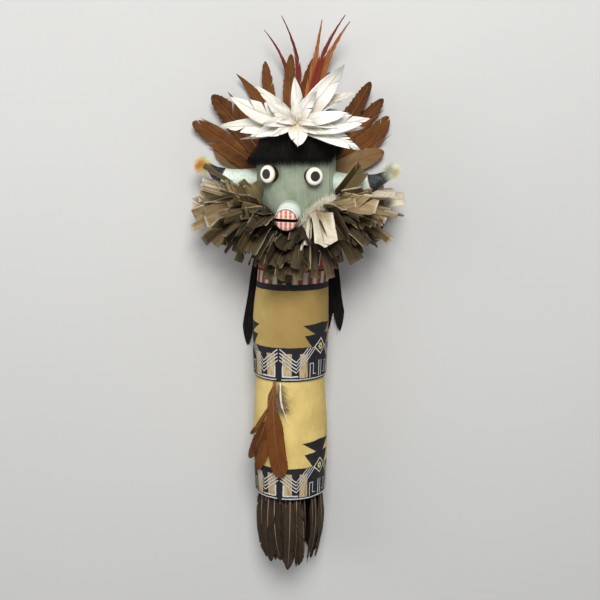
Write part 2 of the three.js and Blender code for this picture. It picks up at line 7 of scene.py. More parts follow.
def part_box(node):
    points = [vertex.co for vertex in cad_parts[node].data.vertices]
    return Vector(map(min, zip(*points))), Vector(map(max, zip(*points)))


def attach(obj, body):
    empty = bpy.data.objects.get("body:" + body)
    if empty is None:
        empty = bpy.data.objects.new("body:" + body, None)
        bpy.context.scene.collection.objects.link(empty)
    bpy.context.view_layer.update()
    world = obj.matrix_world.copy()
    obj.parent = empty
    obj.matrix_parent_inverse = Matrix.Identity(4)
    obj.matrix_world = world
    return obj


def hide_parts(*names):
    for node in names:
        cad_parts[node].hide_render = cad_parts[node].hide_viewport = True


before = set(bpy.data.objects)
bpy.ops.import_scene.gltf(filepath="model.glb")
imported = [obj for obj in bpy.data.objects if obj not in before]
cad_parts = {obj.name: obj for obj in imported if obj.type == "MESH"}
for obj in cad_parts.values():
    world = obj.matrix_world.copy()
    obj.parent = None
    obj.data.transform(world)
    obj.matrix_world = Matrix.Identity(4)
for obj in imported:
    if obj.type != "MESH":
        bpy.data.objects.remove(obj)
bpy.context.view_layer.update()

scene = bpy.context.scene
degrees = math.pi / 180

# Heights run in millimetres from the lower hem to the crown, x from the log's axis, z from the table.
layout = {
    "lowerTier": 102.0, "upperTier": 74.5, "chest": 35.5, "head": 103.0,
    "headLean": 5.3, "headRadius": 32.2, "headYaw": -7.0, "headRoll": -2.5,
    "bodyAxis": 30.7, "chinRadius": 29.9, "headBack": 1, "fitGap": 0.3,
}
shoulder = layout["lowerTier"] + layout["upperTier"]
chin = shoulder + layout["chest"]
crown = chin + layout["head"]
eyeLevel = chin + 0.54 * layout["head"]
headAxis = layout["bodyAxis"] + layout["headRadius"] - layout["chinRadius"] - layout["headBack"]
fringeLow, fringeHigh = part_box("hair_fringe")
shiftX = (fringeLow[0] + fringeHigh[0]) * 500 - layout["headLean"]
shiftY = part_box("carved_figure")[0][1] * 1000


def place(p):
    # doll millimetres to the row frame's metres
    return Vector(((p[0] + shiftX) / 1000, (p[1] + shiftY) / 1000, p[2] / 1000))


def smooth(a, b, v):
    t = min(1, max(0, (v - a) / (b - a)))
    return t * t * (3 - 2 * t)


def mix(a, b, t):
    return a + (b - a) * t


def circle(count):
    return [2 * math.pi * j / count for j in range(count)]


def sweep(limit, count):
    # turns from one side to the other, degrees in and radians out
    return [mix(-limit, limit, i / count) * degrees for i in range(count + 1)]


# camera and light
view = {"distance": 700, "tilt": 9.5, "focal": 841, "aim": (8.3, 164.4, 31), "sensor": 36, "photoWidth": 600}
lights = {
    # place, aim, size, power
    "overhead": ((0.06, 0.75, 1.15), (0, 0.02, 0.03), 0.6, 20),
    "leftFill": ((-1.1, 0.1, 0.7), (0, 0, 0.03), 0.8, 4.5),
    "footFill": ((0.5, -1.0, 0.9), (0, -0.05, 0.03), 0.9, 2.5),
}
sky = {"colour": (0.95, 0.97, 1, 1), "strength": 0.27}


def makeCamera():
    tilt = view["tilt"] * degrees
    back = Vector((0, math.sin(tilt), math.cos(tilt)))
    up = Vector((0, math.cos(tilt), -math.sin(tilt)))
    data = bpy.data.cameras.new("photoCamera")
    data.sensor_width = view["sensor"]
    data.lens = view["sensor"] * view["focal"] / view["photoWidth"]
    data.clip_start, data.clip_end = 0.01, 50
    camera = bpy.data.objects.new("photoCamera", data)
    scene.collection.objects.link(camera)
    at = Vector(view["aim"]) + view["distance"] * back
    facing = Matrix((Vector((1, 0, 0)), up, back)).transposed().to_4x4()
    camera.matrix_world = Matrix.Translation(place(at)) @ facing
    scene.camera = camera


def makeLight(name, at, aim, size, power):
    data = bpy.data.lights.new(name, "AREA")
    data.shape = "DISK"
    data.size, data.energy = size, power
    light = bpy.data.objects.new(name, data)
    scene.collection.objects.link(light)
    light.location = at
    light.rotation_euler = (Vector(aim) - Vector(at)).to_track_quat("-Z", "Y").to_euler()


makeCamera()
for lightName, settings in lights.items():
    makeLight(lightName, *settings)
scene.view_settings.view_transform = "Standard"
scene.world = bpy.data.worlds.new("studio")
scene.world.use_nodes = True
background = scene.world.node_tree.nodes["Background"]
background.inputs["Color"].default_value = sky["colour"]
background.inputs["Strength"].default_value = sky["strength"]
print("camera and lights ready")


# node and shader tools
def addNode(tree, kind, settings=None, inputs=None):
    # one node; each input, by name or number, takes a value or a link
    made = tree.nodes.new(kind)
    for key, value in (settings or {}).items():
        setattr(made, key, value)
    for key, value in (inputs or {}).items():
        if isinstance(value, bpy.types.NodeSocket):
            tree.links.new(value, made.inputs[key])
        else:
            made.inputs[key].default_value = value
    return made


class Value:
    # wraps a number socket, so that shader maths reads as an expression
    def __init__(self, paint, socket):
        self.paint, self.socket = paint, socket

    def maths(self, kind, *others):
        inputs = dict(enumerate((self, *others)))
        return Value(self.paint, self.paint.node("ShaderNodeMath", {"operation": kind}, inputs).outputs[0])

    def __add__(self, o): return self.maths("ADD", o)
    __radd__ = __add__

    def __mul__(self, o): return self.maths("MULTIPLY", o)
    __rmul__ = __mul__

    def __sub__(self, o): return self.maths("SUBTRACT", o)
    def __rsub__(self, o): return (self * -1).maths("ADD", o)
    def __truediv__(self, o): return self.maths("DIVIDE", o)
    def __pow__(self, o): return self.maths("POWER", o)
    def __neg__(self): return self * -1
    def __abs__(self): return self.maths("ABSOLUTE")
    def least(self, o): return self.maths("MINIMUM", o)
    def most(self, o): return self.maths("MAXIMUM", o)
    def fract(self): return self.maths("FRACT")
    def sine(self): return self.maths("SINE")
    def clamp(self): return self.most(0).least(1)

    def inside(self, soft=0.18):
        # 1 where this signed distance is below zero, with a soft edge
        return (0.5 - self / soft).clamp()

    def step(self, low, high):
        t = ((self - low) / (high - low)).clamp()
        return t * t * (3 - 2 * t)


class Paint:
    def __init__(self, name, roughness=0.7):
        self.material = bpy.data.materials.new(name)
        self.material.use_nodes = True
        self.tree = self.material.node_tree
        self.shader = self.tree.nodes["Principled BSDF"]
        self.shader.inputs["Roughness"].default_value = roughness
        self.shader.inputs["Specular IOR Level"].default_value = 0.18

    def node(self, kind, settings=None, inputs=None):
        plain = {key: v.socket if isinstance(v, Value) else v for key, v in (inputs or {}).items()}
        return addNode(self.tree, kind, settings, plain)

    def blend(self, amount, a, b):
        a, b = ((*c, 1) if isinstance(c, tuple) else c for c in (a, b))
        return self.node("ShaderNodeMix", {"data_type": "RGBA"}, {0: amount, 6: a, 7: b}).outputs[2]

    def over(self, base, *coats):
        # coats over the base: how much of each, and its colour
        for amount, tone in coats:
            base = self.blend(amount, base, tone)
        return base

    def coords(self):
        return self.node("ShaderNodeTexCoord").outputs["Object"]

    def number(self, name):
        return Value(self, self.node("ShaderNodeAttribute", {"attribute_name": name}).outputs["Fac"])

    def parts(self, name):
        # the three numbers of a mesh's value
        return self.split(self.node("ShaderNodeAttribute", {"attribute_name": name}).outputs["Vector"])

    def split(self, vector):
        outputs = self.node("ShaderNodeSeparateXYZ", {}, {0: vector}).outputs
        return [Value(self, outputs[i]) for i in range(3)]

    def join(self, x, y, z):
        return self.node("ShaderNodeCombineXYZ", {}, {0: x, 1: y, 2: z}).outputs[0]

    def moved(self, kind, by):
        return self.node("ShaderNodeVectorMath", {"operation": kind}, {0: self.coords(), 1: by}).outputs[0]

    def noise(self, scale, detail=3.0, rough=0.55, at=None, stretch=None):
        # at a given place, else in the object's own space, drawn out where "stretch" is small
        if at is None:
            at = self.moved("MULTIPLY", stretch) if stretch else self.coords()
        inputs = {"Vector": at, "Scale": scale, "Detail": detail, "Roughness": rough}
        return Value(self, self.node("ShaderNodeTexNoise", {}, inputs).outputs["Fac"])

    def ramp(self, factor, stops):
        made = self.node("ShaderNodeValToRGB", {}, {0: factor})
        elements = made.color_ramp.elements
        while len(elements) < len(stops):
            elements.new(0.5)
        for element, (at, colour) in zip(elements, stops):
            element.position, element.color = at, (*colour, 1)
        return made.outputs[0]

    def bump(self, height, strength, distance):
        made = self.node("ShaderNodeBump", {}, {"Strength": strength, "Distance": distance, "Height": height})
        self.tree.links.new(made.outputs[0], self.shader.inputs["Normal"])

    def finish(self, colour, roughness=None):
        self.tree.links.new(colour, self.shader.inputs["Base Color"])
        if roughness is not None:
            self.tree.links.new(roughness.socket, self.shader.inputs["Roughness"])
        return self.material


# mesh tools
class Shape:
    # gathers vertices, faces and their values, then makes one object in metres
    def __init__(self):
        self.points, self.faces, self.slots = [], [], []
        self.values = {}  # by name, then by point, three numbers each

    def add(self, p, **values):
        self.points.append(place(p))
        for key, value in values.items():
            self.values.setdefault(key, {})[len(self.points) - 1] = value
        return len(self.points) - 1

    def face(self, *corners, slot=0):
        self.faces.append(corners)
        self.slots.append(slot)

    def grid(self, rows, closed=False):
        for a, b in zip(rows, rows[1:]):
            size = len(a)
            for j in range(size if closed else size - 1):
                k = (j + 1) % size
                self.face(a[j], a[k], b[k], b[j])

    def fan(self, row, centre, flip=False):
        for j in range(len(row)):
            k = (j + 1) % len(row)
            self.face(*((row[k], row[j], centre) if flip else (row[j], row[k], centre)))

    def build(self, name, *materials):
        mesh = bpy.data.meshes.new(name)
        mesh.from_pydata(self.points, [], self.faces)
        for key, values in self.values.items():
            layer = mesh.attributes.new(key, "FLOAT_VECTOR", "POINT")
            flatValues = [0.0] * (3 * len(self.points))
            for i, v in values.items():
                flatValues[3 * i:3 * i + 3] = v
            layer.data.foreach_set("vector", flatValues)
        for material in materials:
            mesh.materials.append(material)
        mesh.polygons.foreach_set("material_index", self.slots)
        mesh.polygons.foreach_set("use_smooth", [True] * len(mesh.polygons))
        mesh.update()
        made = bpy.data.objects.new(name, mesh)
        scene.collection.objects.link(made)
        return made


def settle(obj, slot, node):
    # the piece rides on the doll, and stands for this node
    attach(obj, "root")
    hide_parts(node)


def flatten(obj):
    # the evaluated mesh replaces the object's own, and its modifiers go
    made = bpy.data.meshes.new_from_object(obj.evaluated_get(bpy.context.evaluated_depsgraph_get()))
    obj.modifiers.clear()
    obj.data = made


def resampled(key, pitch):
    # stations through the key ones, about one pitch apart
    stations = []
    for (low, a), (high, b) in zip(key, key[1:]):
        count = max(1, round((high - low) / pitch))
        stations += [(mix(low, high, i / count), mix(a, b, i / count)) for i in range(count)]
    return stations + [key[-1]]


# the painted finishes of the wood
border = {
    # half a repeat of the border, and the height of the flowers' middles
    "half": 37.1, "flower": 27.8,
    # bars: middle and half width, middle and half height
    "panels": [(6.75, 3.85, 13.65, 9.85), (20.45, 3.45, 13, 10)],
    "lines": [(3.4, 0.6, 8.8, 4.6), (9.4, 6.5, 4.2, 0.55), (26.2, 0.3, 8.75, 5.75), (27.8, 1.9, 14.5, 0.3),
              (29.4, 0.3, 10, 4.5), (30.7, 1.6, 5.5, 0.3), (35.6, 0.45, 9.5, 6.5)],
}


def barsAt(s, h, bars):
    # the signed distance to the nearest bar
    distances = [(abs(s - middle) - half).most(abs(h - level) - tall) for middle, half, level, tall in bars]
    nearest = distances[0]
    for distance in distances[1:]:
        nearest = nearest.least(distance)
    return nearest


def woodPaint():
    paint = Paint("paintedWood")
    around, tall, _ = paint.parts("band")
    turn = paint.split(paint.node("ShaderNodeUVMap").outputs[0])[0] * 360 - 180
    s = around + (paint.noise(210, 2) - 0.5) * 1.1
    wobble = (paint.noise(240, 2, at=paint.moved("ADD", (3, 1, 2))) - 0.5) * 1.1
    upper = tall.maths("GREATER_THAN", layout["lowerTier"] + 0.005)
    h = tall + wobble - upper * layout["lowerTier"]
    patchy = paint.noise(60, 4)
    grain = paint.noise(1500, 2, stretch=(1, 0.07, 1))
    # the yellow ground, patchy and grained; the upper tier is blended towards dark brown as painted shade under the
    # ruff, less so towards negative turns as painted light from that side
    yellow = paint.over(
        (0.53, 0.385, 0.125), (patchy.step(0.3, 0.7), (0.64, 0.485, 0.175)),
        (grain.step(0.45, 0.75) * 0.22, (0.42, 0.27, 0.07)),
        (upper * (0.40 + 0.38 * turn.step(-75, -15)), (0.218, 0.131, 0.036)))
    black = paint.blend(patchy, (0.008, 0.008, 0.011), (0.019, 0.018, 0.022))
    white = paint.blend(paint.noise(900), (0.46, 0.46, 0.45), (0.72, 0.71, 0.66))
    cream = paint.blend(paint.noise(900, 2, stretch=(1, 0.15, 1)).step(0.4, 0.65),
                        (0.45, 0.34, 0.19), (0.27, 0.19, 0.10))

    # the mountain-edged black border, and what is painted on it
    wedgeTip, peakTip = h + upper * 2 - 39.6, h + upper * 3.3 - 49.3
    wedge = (wedgeTip - 0.08 * (s - 20.7)).most(-1.42 * (s - 20.7) - wedgeTip).most(20.7 - s)
    peak = (peakTip - 0.09 * (s - 19)).most(-0.667 * (s - 19) - peakTip)
    x, y = s - border["half"], h - border["flower"]
    diamond = (abs(x) / 6.9 + abs(y) / 6.5 - 1) * 4.75
    steps = h - 16.4 - (0.79 * (14.3 - s)).most(1.18 * (s - 14.3))
    nearest = abs(((steps / 3) + 0.5).fract() - 0.5) * 3
    ends = (steps - 1).most(-steps - 10).most((h - 27.9).most(-diamond)).most(0.8 - s)
    lines = barsAt(s, h, border["lines"]).least((abs(h - 1.75) - 0.45).most(2.1 - s))
    reach = (x * x + y * y) ** 0.5
    petals = reach - 2.5 - 0.8 * (x.maths("ARCTAN2", y) * 8).maths("COSINE")
    colour = paint.over(
        yellow,
        ((h - 28.3).least(wedge).least(peak).inside(), black),
        (barsAt(s, h, border["panels"]).inside(), cream),
        ((nearest - 0.8).most(ends).inside() * 0.85, (0.05, 0.035, 0.025)),
        ((nearest - 0.42).most(ends).inside(), white),
        (lines.inside(), paint.blend(0.35, white, (0.33, 0.37, 0.42))),
        (diamond.inside(), black), ((abs(diamond) - 0.42).inside(), white),
        (petals.inside(), (0.62, 0.50, 0.16)), ((reach - 0.9).inside(), (0.02, 0.02, 0.02)),
        ((h - 1.1).inside(), black))

    # the chest: black line, striped sash, black line, red ground with blocks
    height = tall + wobble
    stripe = abs(((turn + wobble * 0.8 + 4) / 16.36).fract() - 0.5)
    sash = paint.over(
        (0.21, 0.050, 0.030), ((stripe - 0.25).inside(0.05), (0.42, 0.33, 0.26)),
        ((stripe - 0.04).inside(0.04) * 0.6, (0.62, 0.55, 0.47)), ((abs(turn + 6) - 4.5).inside(0.8), black))
    blocks = ((abs((turn / 24).fract() - 0.5) * 24 - 7.4) * 0.52).most(abs(height - 202.3) - 5.6)
    strap = abs(turn - 71)
    strapColour = paint.over((0.015, 0.015, 0.018), ((strap - 5.5).inside(0.6), (0.40, 0.30, 0.18)),
                             ((strap - 1.6).inside(0.6), white))
    chest = paint.over(
        (0.24, 0.055, 0.032), (blocks.inside(), (0.016, 0.017, 0.026)), ((abs(blocks) - 0.35).inside(), white),
        ((height - 192.6).inside(), black), ((height - 191).inside(), sash), ((height - 181.5).inside(), black),
        ((strap - 9).most(181.5 - height).inside(0.6), strapColour))

    # the mask: a pale green wash over wood, chalky in places, with painted shade under the fringe, painted shade
    # over its left and middle and painted light over its right side
    streaks = paint.noise(420, stretch=(1, 0.05, 1))
    # a light, a dark and a light vertical line down the mask's right side
    sideLines = [(52, (0.44, 0.47, 0.37)), (55.5, (0.11, 0.14, 0.10)), (63, (0.46, 0.50, 0.40))]
    green = paint.over(
        (0.17, 0.205, 0.145), (paint.noise(45, 5, 0.65).step(0.3, 0.7), (0.31, 0.35, 0.26)),
        (streaks.step(0.5, 0.72) * 0.35, (0.38, 0.41, 0.31)),
        *[((abs(turn - at + wobble) - 0.9).inside(0.8) * 0.6, tone) for at, tone in sideLines],
        # painted shade over the left and middle, painted light over the right side
        ((1 - turn.step(5, 62)) * 0.2, (0.03, 0.045, 0.03)), (turn.step(20, 66) * 0.35, (0.46, 0.50, 0.40)),
        # painted shade under the fringe; the crown above it painted black
        (height.step(270, 286) * 0.55, (0.10, 0.14, 0.10)), ((crown - 5 - height).inside(), (0.012, 0.010, 0.009)))
    # grime from hands lies over all of it
    colour = paint.over(colour, ((shoulder - height).inside(), chest), ((chin - height).inside(), green),
                        (paint.noise(25, 5, 0.7).step(0.52, 0.72) * 0.18, (0.12, 0.085, 0.05)))
    paint.bump(paint.noise(500, 4, stretch=(1, 0.25, 1)) + patchy * 0.6, 0.32, 0.0006)
    return paint.finish(colour, 0.82 - patchy * 0.22)


def hornPaint():
    # green, then a pale band and a black point
    paint = Paint("hornPaint")
    along = paint.parts("paint")[0] + (paint.noise(260, 2) - 0.5) * 0.03
    colour = paint.ramp(along, [
        (0, (0.46, 0.54, 0.44)), (0.30, (0.62, 0.70, 0.60)), (0.585, (0.66, 0.73, 0.63)),
        (0.597, (0.60, 0.50, 0.36)), (0.607, (0.018, 0.020, 0.027)), (1, (0.012, 0.012, 0.015))])
    colour = paint.blend(paint.noise(420, 4).step(0.42, 0.72) * 0.28, colour, (0.20, 0.20, 0.16))
    paint.bump(paint.noise(700), 0.25, 0.0004)
    return paint.finish(colour, 0.62 - paint.noise(150) * 0.2)


def snoutPaint():
    paint = Paint("snoutPaint", 0.62)
    x, y, along = paint.parts("paint")
    wobble = (paint.noise(400, 2) - 0.5) * 0.9
    reach = (x * x + y * y) ** 0.5
    # the side is green by the face and pale further out: the pale part is a painted highlight along the tube
    side = paint.over(
        (0.36, 0.44, 0.33), ((along - layout["headRadius"] - 1).step(0, 7), (0.74, 0.78, 0.72)),
        (paint.noise(330, 4).step(0.5, 0.7) * 0.2, (0.40, 0.40, 0.30)))
    across = abs(((x + wobble * 0.5) / 3.5).fract() - 0.5)
    rows = abs(((y + wobble) / 3.1).fract() - 0.5)
    lips = paint.over(
        (0.50, 0.15, 0.115), ((across - 0.22).inside(0.08), (0.80, 0.62, 0.52)),
        ((across - 0.07).inside(0.06) * 0.8, (0.72, 0.42, 0.33)),
        ((rows - 0.1).inside(0.08) * 0.35, (0.78, 0.66, 0.50)),
        ((8.0 - reach + wobble * 0.3).inside(0.3), (0.045, 0.03, 0.025)))
    front = layout["headRadius"] + 20.2
    mouth = (abs(y) - 1.25).most(reach - 9).most(layout["headRadius"] + 12 - along)
    colour = paint.over(side, ((front - along).inside(0.3), lips), (mouth.inside(0.25), (0.018, 0.012, 0.01)))
    paint.bump(paint.noise(600), 0.25, 0.0004)
    return paint.finish(colour)


def eyePaint():
    paint = Paint("eyePaint")
    reach, along, _ = paint.parts("paint")
    wobble = (paint.noise(500, 2) - 0.5) * 0.35
    colour = paint.over(
        (0.80, 0.78, 0.68), ((6.2 - reach + wobble).inside(0.5), (0.66, 0.55, 0.42)),
        (paint.noise(600, 4).step(0.5, 0.7) * 0.25, (0.50, 0.46, 0.36)),
        ((reach - 3.95 + wobble).inside(0.2), (0.030, 0.025, 0.022)),
        ((along - layout["headRadius"] - 4.85).inside(0.2), (0.016, 0.015, 0.015)))
    paint.bump(paint.noise(900), 0.2, 0.0003)
    return paint.finish(colour, 0.4 + paint.noise(300) * 0.25)


# the carved figure: foot tier, upper tier, chest and cylindrical head on one log
figure = {
    # height and radius
    "profile": [
        (0, 28.9), (1.2, 30.1), (25.5, 31.1), (51, 31.5), (69.4, 30.8), (86.7, 29.5), (102, 28.6),
        (102.01, 30.0), (103.2, 30.6), (124.35, 31.45), (146.7, 31.7), (165.3, 31.0), (176.5, 29.9),
        (194.25, 29.5), (210.5, 29.3), (213.5, 32.2), (308, 32.2), (310.8, 31.57), (313.25, 29.75), (315, 25.2)],
    "ringPitch": 2.5, "sides": 360, "knife": 0.16, "headForward": 1.3, "leanFrom": 102, "leanOver": 110,
    "leanPower": 2.6, "bodyFlat": 2.5, "headFlat": 10.3,
    # under the fringe the crown leans in on one side: by how much, and how far below the top it starts and ends
    "narrowBy": 0.27, "narrowFrom": 37, "narrowTo": 15,
}


def leanAt(h):
    return layout["headLean"] * min(1, max(0, (h - figure["leanFrom"]) / figure["leanOver"])) ** figure["leanPower"]


def axisAt(h):
    return layout["bodyAxis"] + figure["headForward"] * smooth(shoulder, chin, h)


def flatAt(h):
    return 0 if h <= layout["lowerTier"] else figure["bodyFlat"] if h <= chin else figure["headFlat"]


def unitPlace(turn):
    # millimetres round from the middle of the border's repeat: one in front, two behind
    for middle, half in ((-17, 70), (108, 55), (-142, 55)):
        away = abs((turn - middle + 180) % 360 - 180)
        if away <= half + 1e-6:
            return away / half * border["half"]
    return border["half"]


def wrapTurns(obj):
    # a UV map of the turn round the axis and the height, closed at the back
    mesh = obj.data
    turns = [v.vector[0] for v in mesh.attributes["turn"].data]
    heights = [v.vector[1] for v in mesh.attributes["turn"].data]
    layer = mesh.uv_layers.new(name="UVMap").data
    for face in mesh.polygons:
        around = [turns[v] for v in face.vertices]
        split = max(around) - min(around) > 180
        for loop, vertex in zip(face.loop_indices, face.vertices):
            at = turns[vertex] + (360 if split and turns[vertex] < 0 else 0)
            layer[loop].uv = (at / 360 + 0.5, heights[vertex] / 1000)


def narrowed(x, h):
    share = smooth(crown - figure["narrowFrom"], crown - figure["narrowTo"], h)
    return x * (1 - figure["narrowBy"] * share) if x < 0 else x


def carveFigure():
    shape = Shape()
    rows = []
    for h, radius in resampled(figure["profile"], figure["ringPitch"]):
        row = []
        for j in range(figure["sides"]):
            turn = j - 180
            rad = turn * degrees
            cut = noise.noise(Vector((math.sin(rad) * 3, h * 0.07, math.cos(rad) * 3)))
            cut += 0.5 * noise.noise(Vector((math.sin(rad) * 9, h * 0.16, math.cos(rad) * 9)))
            r = radius - figure["knife"] * (0.75 + cut)
            z = max(flatAt(h), axisAt(h) + r * math.cos(rad))
            row.append(shape.add((leanAt(h) + narrowed(r * math.sin(rad), h), h, z),
                                 band=(unitPlace(turn), h, 0), turn=(turn, h, 0)))
        rows.append(row)
    shape.grid(rows, closed=True)
    foot = shape.add((0, 0, layout["bodyAxis"]), band=(0, 0, 0), turn=(0, 0, 0))
    top = shape.add((layout["headLean"], crown, headAxis), band=(0, crown, 0), turn=(0, crown, 0))
    shape.fan(rows[0], foot, flip=True)
    shape.fan(rows[-1], top)
    made = shape.build("painted_figure", woodPaint())
    wrapTurns(made)
    made.data.set_sharp_from_angle(angle=0.6)
    settle(made, "painted_wood", "carved_figure")


carveFigure()
print("figure carved")


# the mask's eyes, snout and horns, all placed from the mask's own middle
headPlace = (Matrix.Translation((layout["headLean"], eyeLevel, headAxis))
             @ Matrix.Rotation(layout["headRoll"] * degrees, 4, "Z")
             @ Matrix.Rotation(layout["headYaw"] * degrees, 4, "Y"))
# stations of the eyes and the snout: distance from the mask's surface, and radius
eye = {
    "angle": 29, "sides": 56,
    "stations": [(-2.5, 6.3), (1, 6.3), (4.6, 6.3), (4.72, 6.75), (5.0, 6.95), (5.5, 6.98), (6.0, 6.9), (6.35, 6.6),
                 (6.7, 6.1), (7.0, 5.4), (7.2, 4.4), (7.32, 3.6), (7.38, 2.6), (7.4, 1.2)],
}
snout = {
    "drop": 0.22, "tilt": 12, "pitch": 1.2, "sides": 72,
    "stations": [(-6, 10.6), (6.3, 9.4), (14.7, 8.8), (19, 9.0), (20.4, 8.5), (21, 7.4), (21.25, 5.5), (21.38, 3),
                 (21.4, 1)],
    # the mouth's cut: half its width and height, and where it starts and ends
    "mouth": (13, 1.1, 16.6, 23),
}
horn = {
    "reach": 42, "radius": 9.6, "rings": 60, "sides": 44,
    # share of the reach outwards, height, depth
    "line": ((-0.25, -4, 0), (0.15, -5.6, 0.5), (0.55, -5.4, 1.5), (0.8, -1.375, 2.5), (1, 6.5, 3.5)),
}
sides = ((-1, "left"), (1, "right"))


def offSurface(stations):
    return [(layout["headRadius"] + distance, radius) for distance, radius in stations]


def axes(along):
    across = Vector((0, 1, 0)).cross(along).normalized()
    return across, along.cross(across).normalized()


def turned(shape, stations, start, along, count, paintAs):
    # a turned piece: stations are distance and radius; the first and last close on the axis
    across, up = axes(along)
    rows = []
    for distance, radius in stations:
        row = []
        for angle in circle(count):
            x, y = radius * math.cos(angle), radius * math.sin(angle)
            p = headPlace @ (start + along * distance + across * x + up * y)
            row.append(shape.add(p, paint=paintAs(x, y, distance, radius)))
        rows.append(row)
    shape.grid(rows, closed=True)
    for end, flip in ((0, True), (-1, False)):
        distance = stations[end][0]
        centre = shape.add(headPlace @ (start + along * distance), paint=paintAs(0, 0, distance, 0))
        shape.fan(rows[end], centre, flip=flip)


def makeEyes():
    finish = eyePaint()
    for side, name in sides:
        shape = Shape()
        along = Vector((side * math.sin(eye["angle"] * degrees), 0, math.cos(eye["angle"] * degrees)))
        turned(shape, offSurface(eye["stations"]), Vector(), along, eye["sides"],
               lambda x, y, d, radius: (radius, d, 0))
        settle(shape.build("turned_eye_" + name, finish), "eye_paint", "eye_" + name)


def makeSnout():
    finish = snoutPaint()
    start = Vector((0, -snout["drop"] * layout["head"], 0))
    tilt = snout["tilt"] * degrees
    along = Vector((0, -math.sin(tilt), math.cos(tilt)))
    across, up = axes(along)
    shape = Shape()
    turned(shape, resampled(offSurface(snout["stations"]), snout["pitch"]), start, along, snout["sides"],
           lambda x, y, d, radius: (x, y, d))
    made = shape.build("beak_snout", finish)
    # the mouth is sawn right across the end
    saw = Shape()
    wide, tall, first, last = snout["mouth"]
    corners = []
    for d in (first, last):
        for x, y in ((-wide, -tall), (wide, -tall), (wide, tall), (-wide, tall)):
            p = start + along * (layout["headRadius"] + d) + across * x + up * y
            corners.append(saw.add(headPlace @ p, paint=(x, y, d)))
    for f in ((3, 2, 1, 0), (4, 5, 6, 7), (0, 1, 5, 4), (1, 2, 6, 5), (2, 3, 7, 6), (3, 0, 4, 7)):
        saw.face(*(corners[i] for i in f))
    blade = saw.build("saw", finish)
    cut = made.modifiers.new("mouth", "BOOLEAN")
    cut.operation, cut.object, cut.solver = "DIFFERENCE", blade, "EXACT"
    flatten(made)
    bpy.data.objects.remove(blade)
    # the paint follows the snout's own directions, on the sawn faces too
    turnBack = (Matrix.Translation(place((0, 0, 0)) * 1000) @ headPlace).inverted()
    values = []
    for v in made.data.vertices:
        p = turnBack @ (v.co * 1000) - start
        values += [p.dot(across), p.dot(up), p.dot(along)]
    made.data.attributes["paint"].data.foreach_set("vector", values)
    made.data.set_sharp_from_angle(angle=0.7)
    settle(made, "beak_paint", "snout")


def curvePoint(points, t):
    # Catmull-Rom through the points
    count = len(points) - 1
    i = min(count - 1, int(t * count))
    f = t * count - i
    a, b = points[max(0, i - 1)], points[i]
    c, d = points[i + 1], points[min(count, i + 2)]
    return 0.5 * (2 * b + (c - a) * f + (2 * a - 5 * b + 4 * c - d) * f * f + (3 * b - a - 3 * c + d) * f ** 3)


def hornPoints(side):
    return [Vector((side * (layout["headRadius"] + horn["reach"] * k), y, z)) for k, y, z in horn["line"]]


def makeHorns():
    finish = hornPaint()
    for side, name in sides:
        shape = Shape()
        points = hornPoints(side)
        rows = []
        for i in range(horn["rings"] + 1):
            t = i / horn["rings"]
            at = curvePoint(points, t)
            along = (curvePoint(points, min(1, t + 0.01)) - curvePoint(points, max(0, t - 0.01))).normalized()
            across = along.cross(Vector((0, 0, 1))).normalized()
            up = across.cross(along).normalized()
            # it tapers evenly, and from the black point on it rounds off
            share = 1 - 0.38 * t if t < 0.6 else 0.772 * (1 - ((t - 0.6) / 0.4) ** 1.4)
            row = []
            for angle in circle(horn["sides"]):
                bump = 0.12 * noise.noise(Vector((math.cos(angle) * 2, t * 9, math.sin(angle) * 2)))
                radius = horn["radius"] * max(0.02, share) - bump
                p = at + across * radius * math.cos(angle) + up * radius * math.sin(angle)
                row.append(shape.add(headPlace @ p, paint=(t, 0, 0)))
            rows.append(row)
        shape.grid(rows, closed=True)
        shape.fan(rows[0], shape.add(headPlace @ points[0], paint=(0, 0, 0)), flip=True)
        shape.fan(rows[-1], shape.add(headPlace @ points[-1], paint=(1, 0, 0)))
        settle(shape.build("carved_horn_" + name, finish), "horn_paint", "horn_" + name)


makeEyes()
makeSnout()
makeHorns()
print("mask fittings made")


# finishes of feathers: "vane" is along, across and tone, "barb" is millimetres, and 1 on the quill
def featherFinish(name, dark, light, quill, tip=None, edge=None, base=None, line=0.45):
    paint = Paint(name)
    along, across, tone = paint.parts("vane")
    root, reach, isQuill = paint.parts("barb")
    streak = paint.noise(1, 3, 0.6, at=paint.join(root * 3.6, reach * 0.12, tone * 37))
    broad = paint.noise(1, 2, at=paint.join(root * 0.10, reach * 0.16, tone * 53))
    colour = paint.blend((streak * 0.6 + broad * 0.4 + tone * 0.16).step(0.36, 0.74), dark, light)
    # towards the root the colour turns to base; on the white rosette feathers this cream is partly their own and
    # partly painted shade between them near the knot
    if base:
        colour = paint.blend((1 - along.step(0.0, 0.55)) * 0.85, colour, base)
    if tip:
        colour = paint.blend(along.step(0.55, 1) * 0.6, colour, tip)
    if edge:
        colour = paint.blend(abs(across).step(0.72, 0.98) * tone.step(0.25, 0.7), colour, edge)
    colour = paint.over(colour, ((0.10 - abs(across)).step(0, 0.10) * line, tuple(0.5 * c for c in dark)),
                        (isQuill, quill))
    paint.bump((root * 13.0).sine() * (1 - isQuill) + streak, 0.35, 0.00025)
    return paint.finish(colour, 0.62 + streak * 0.18)


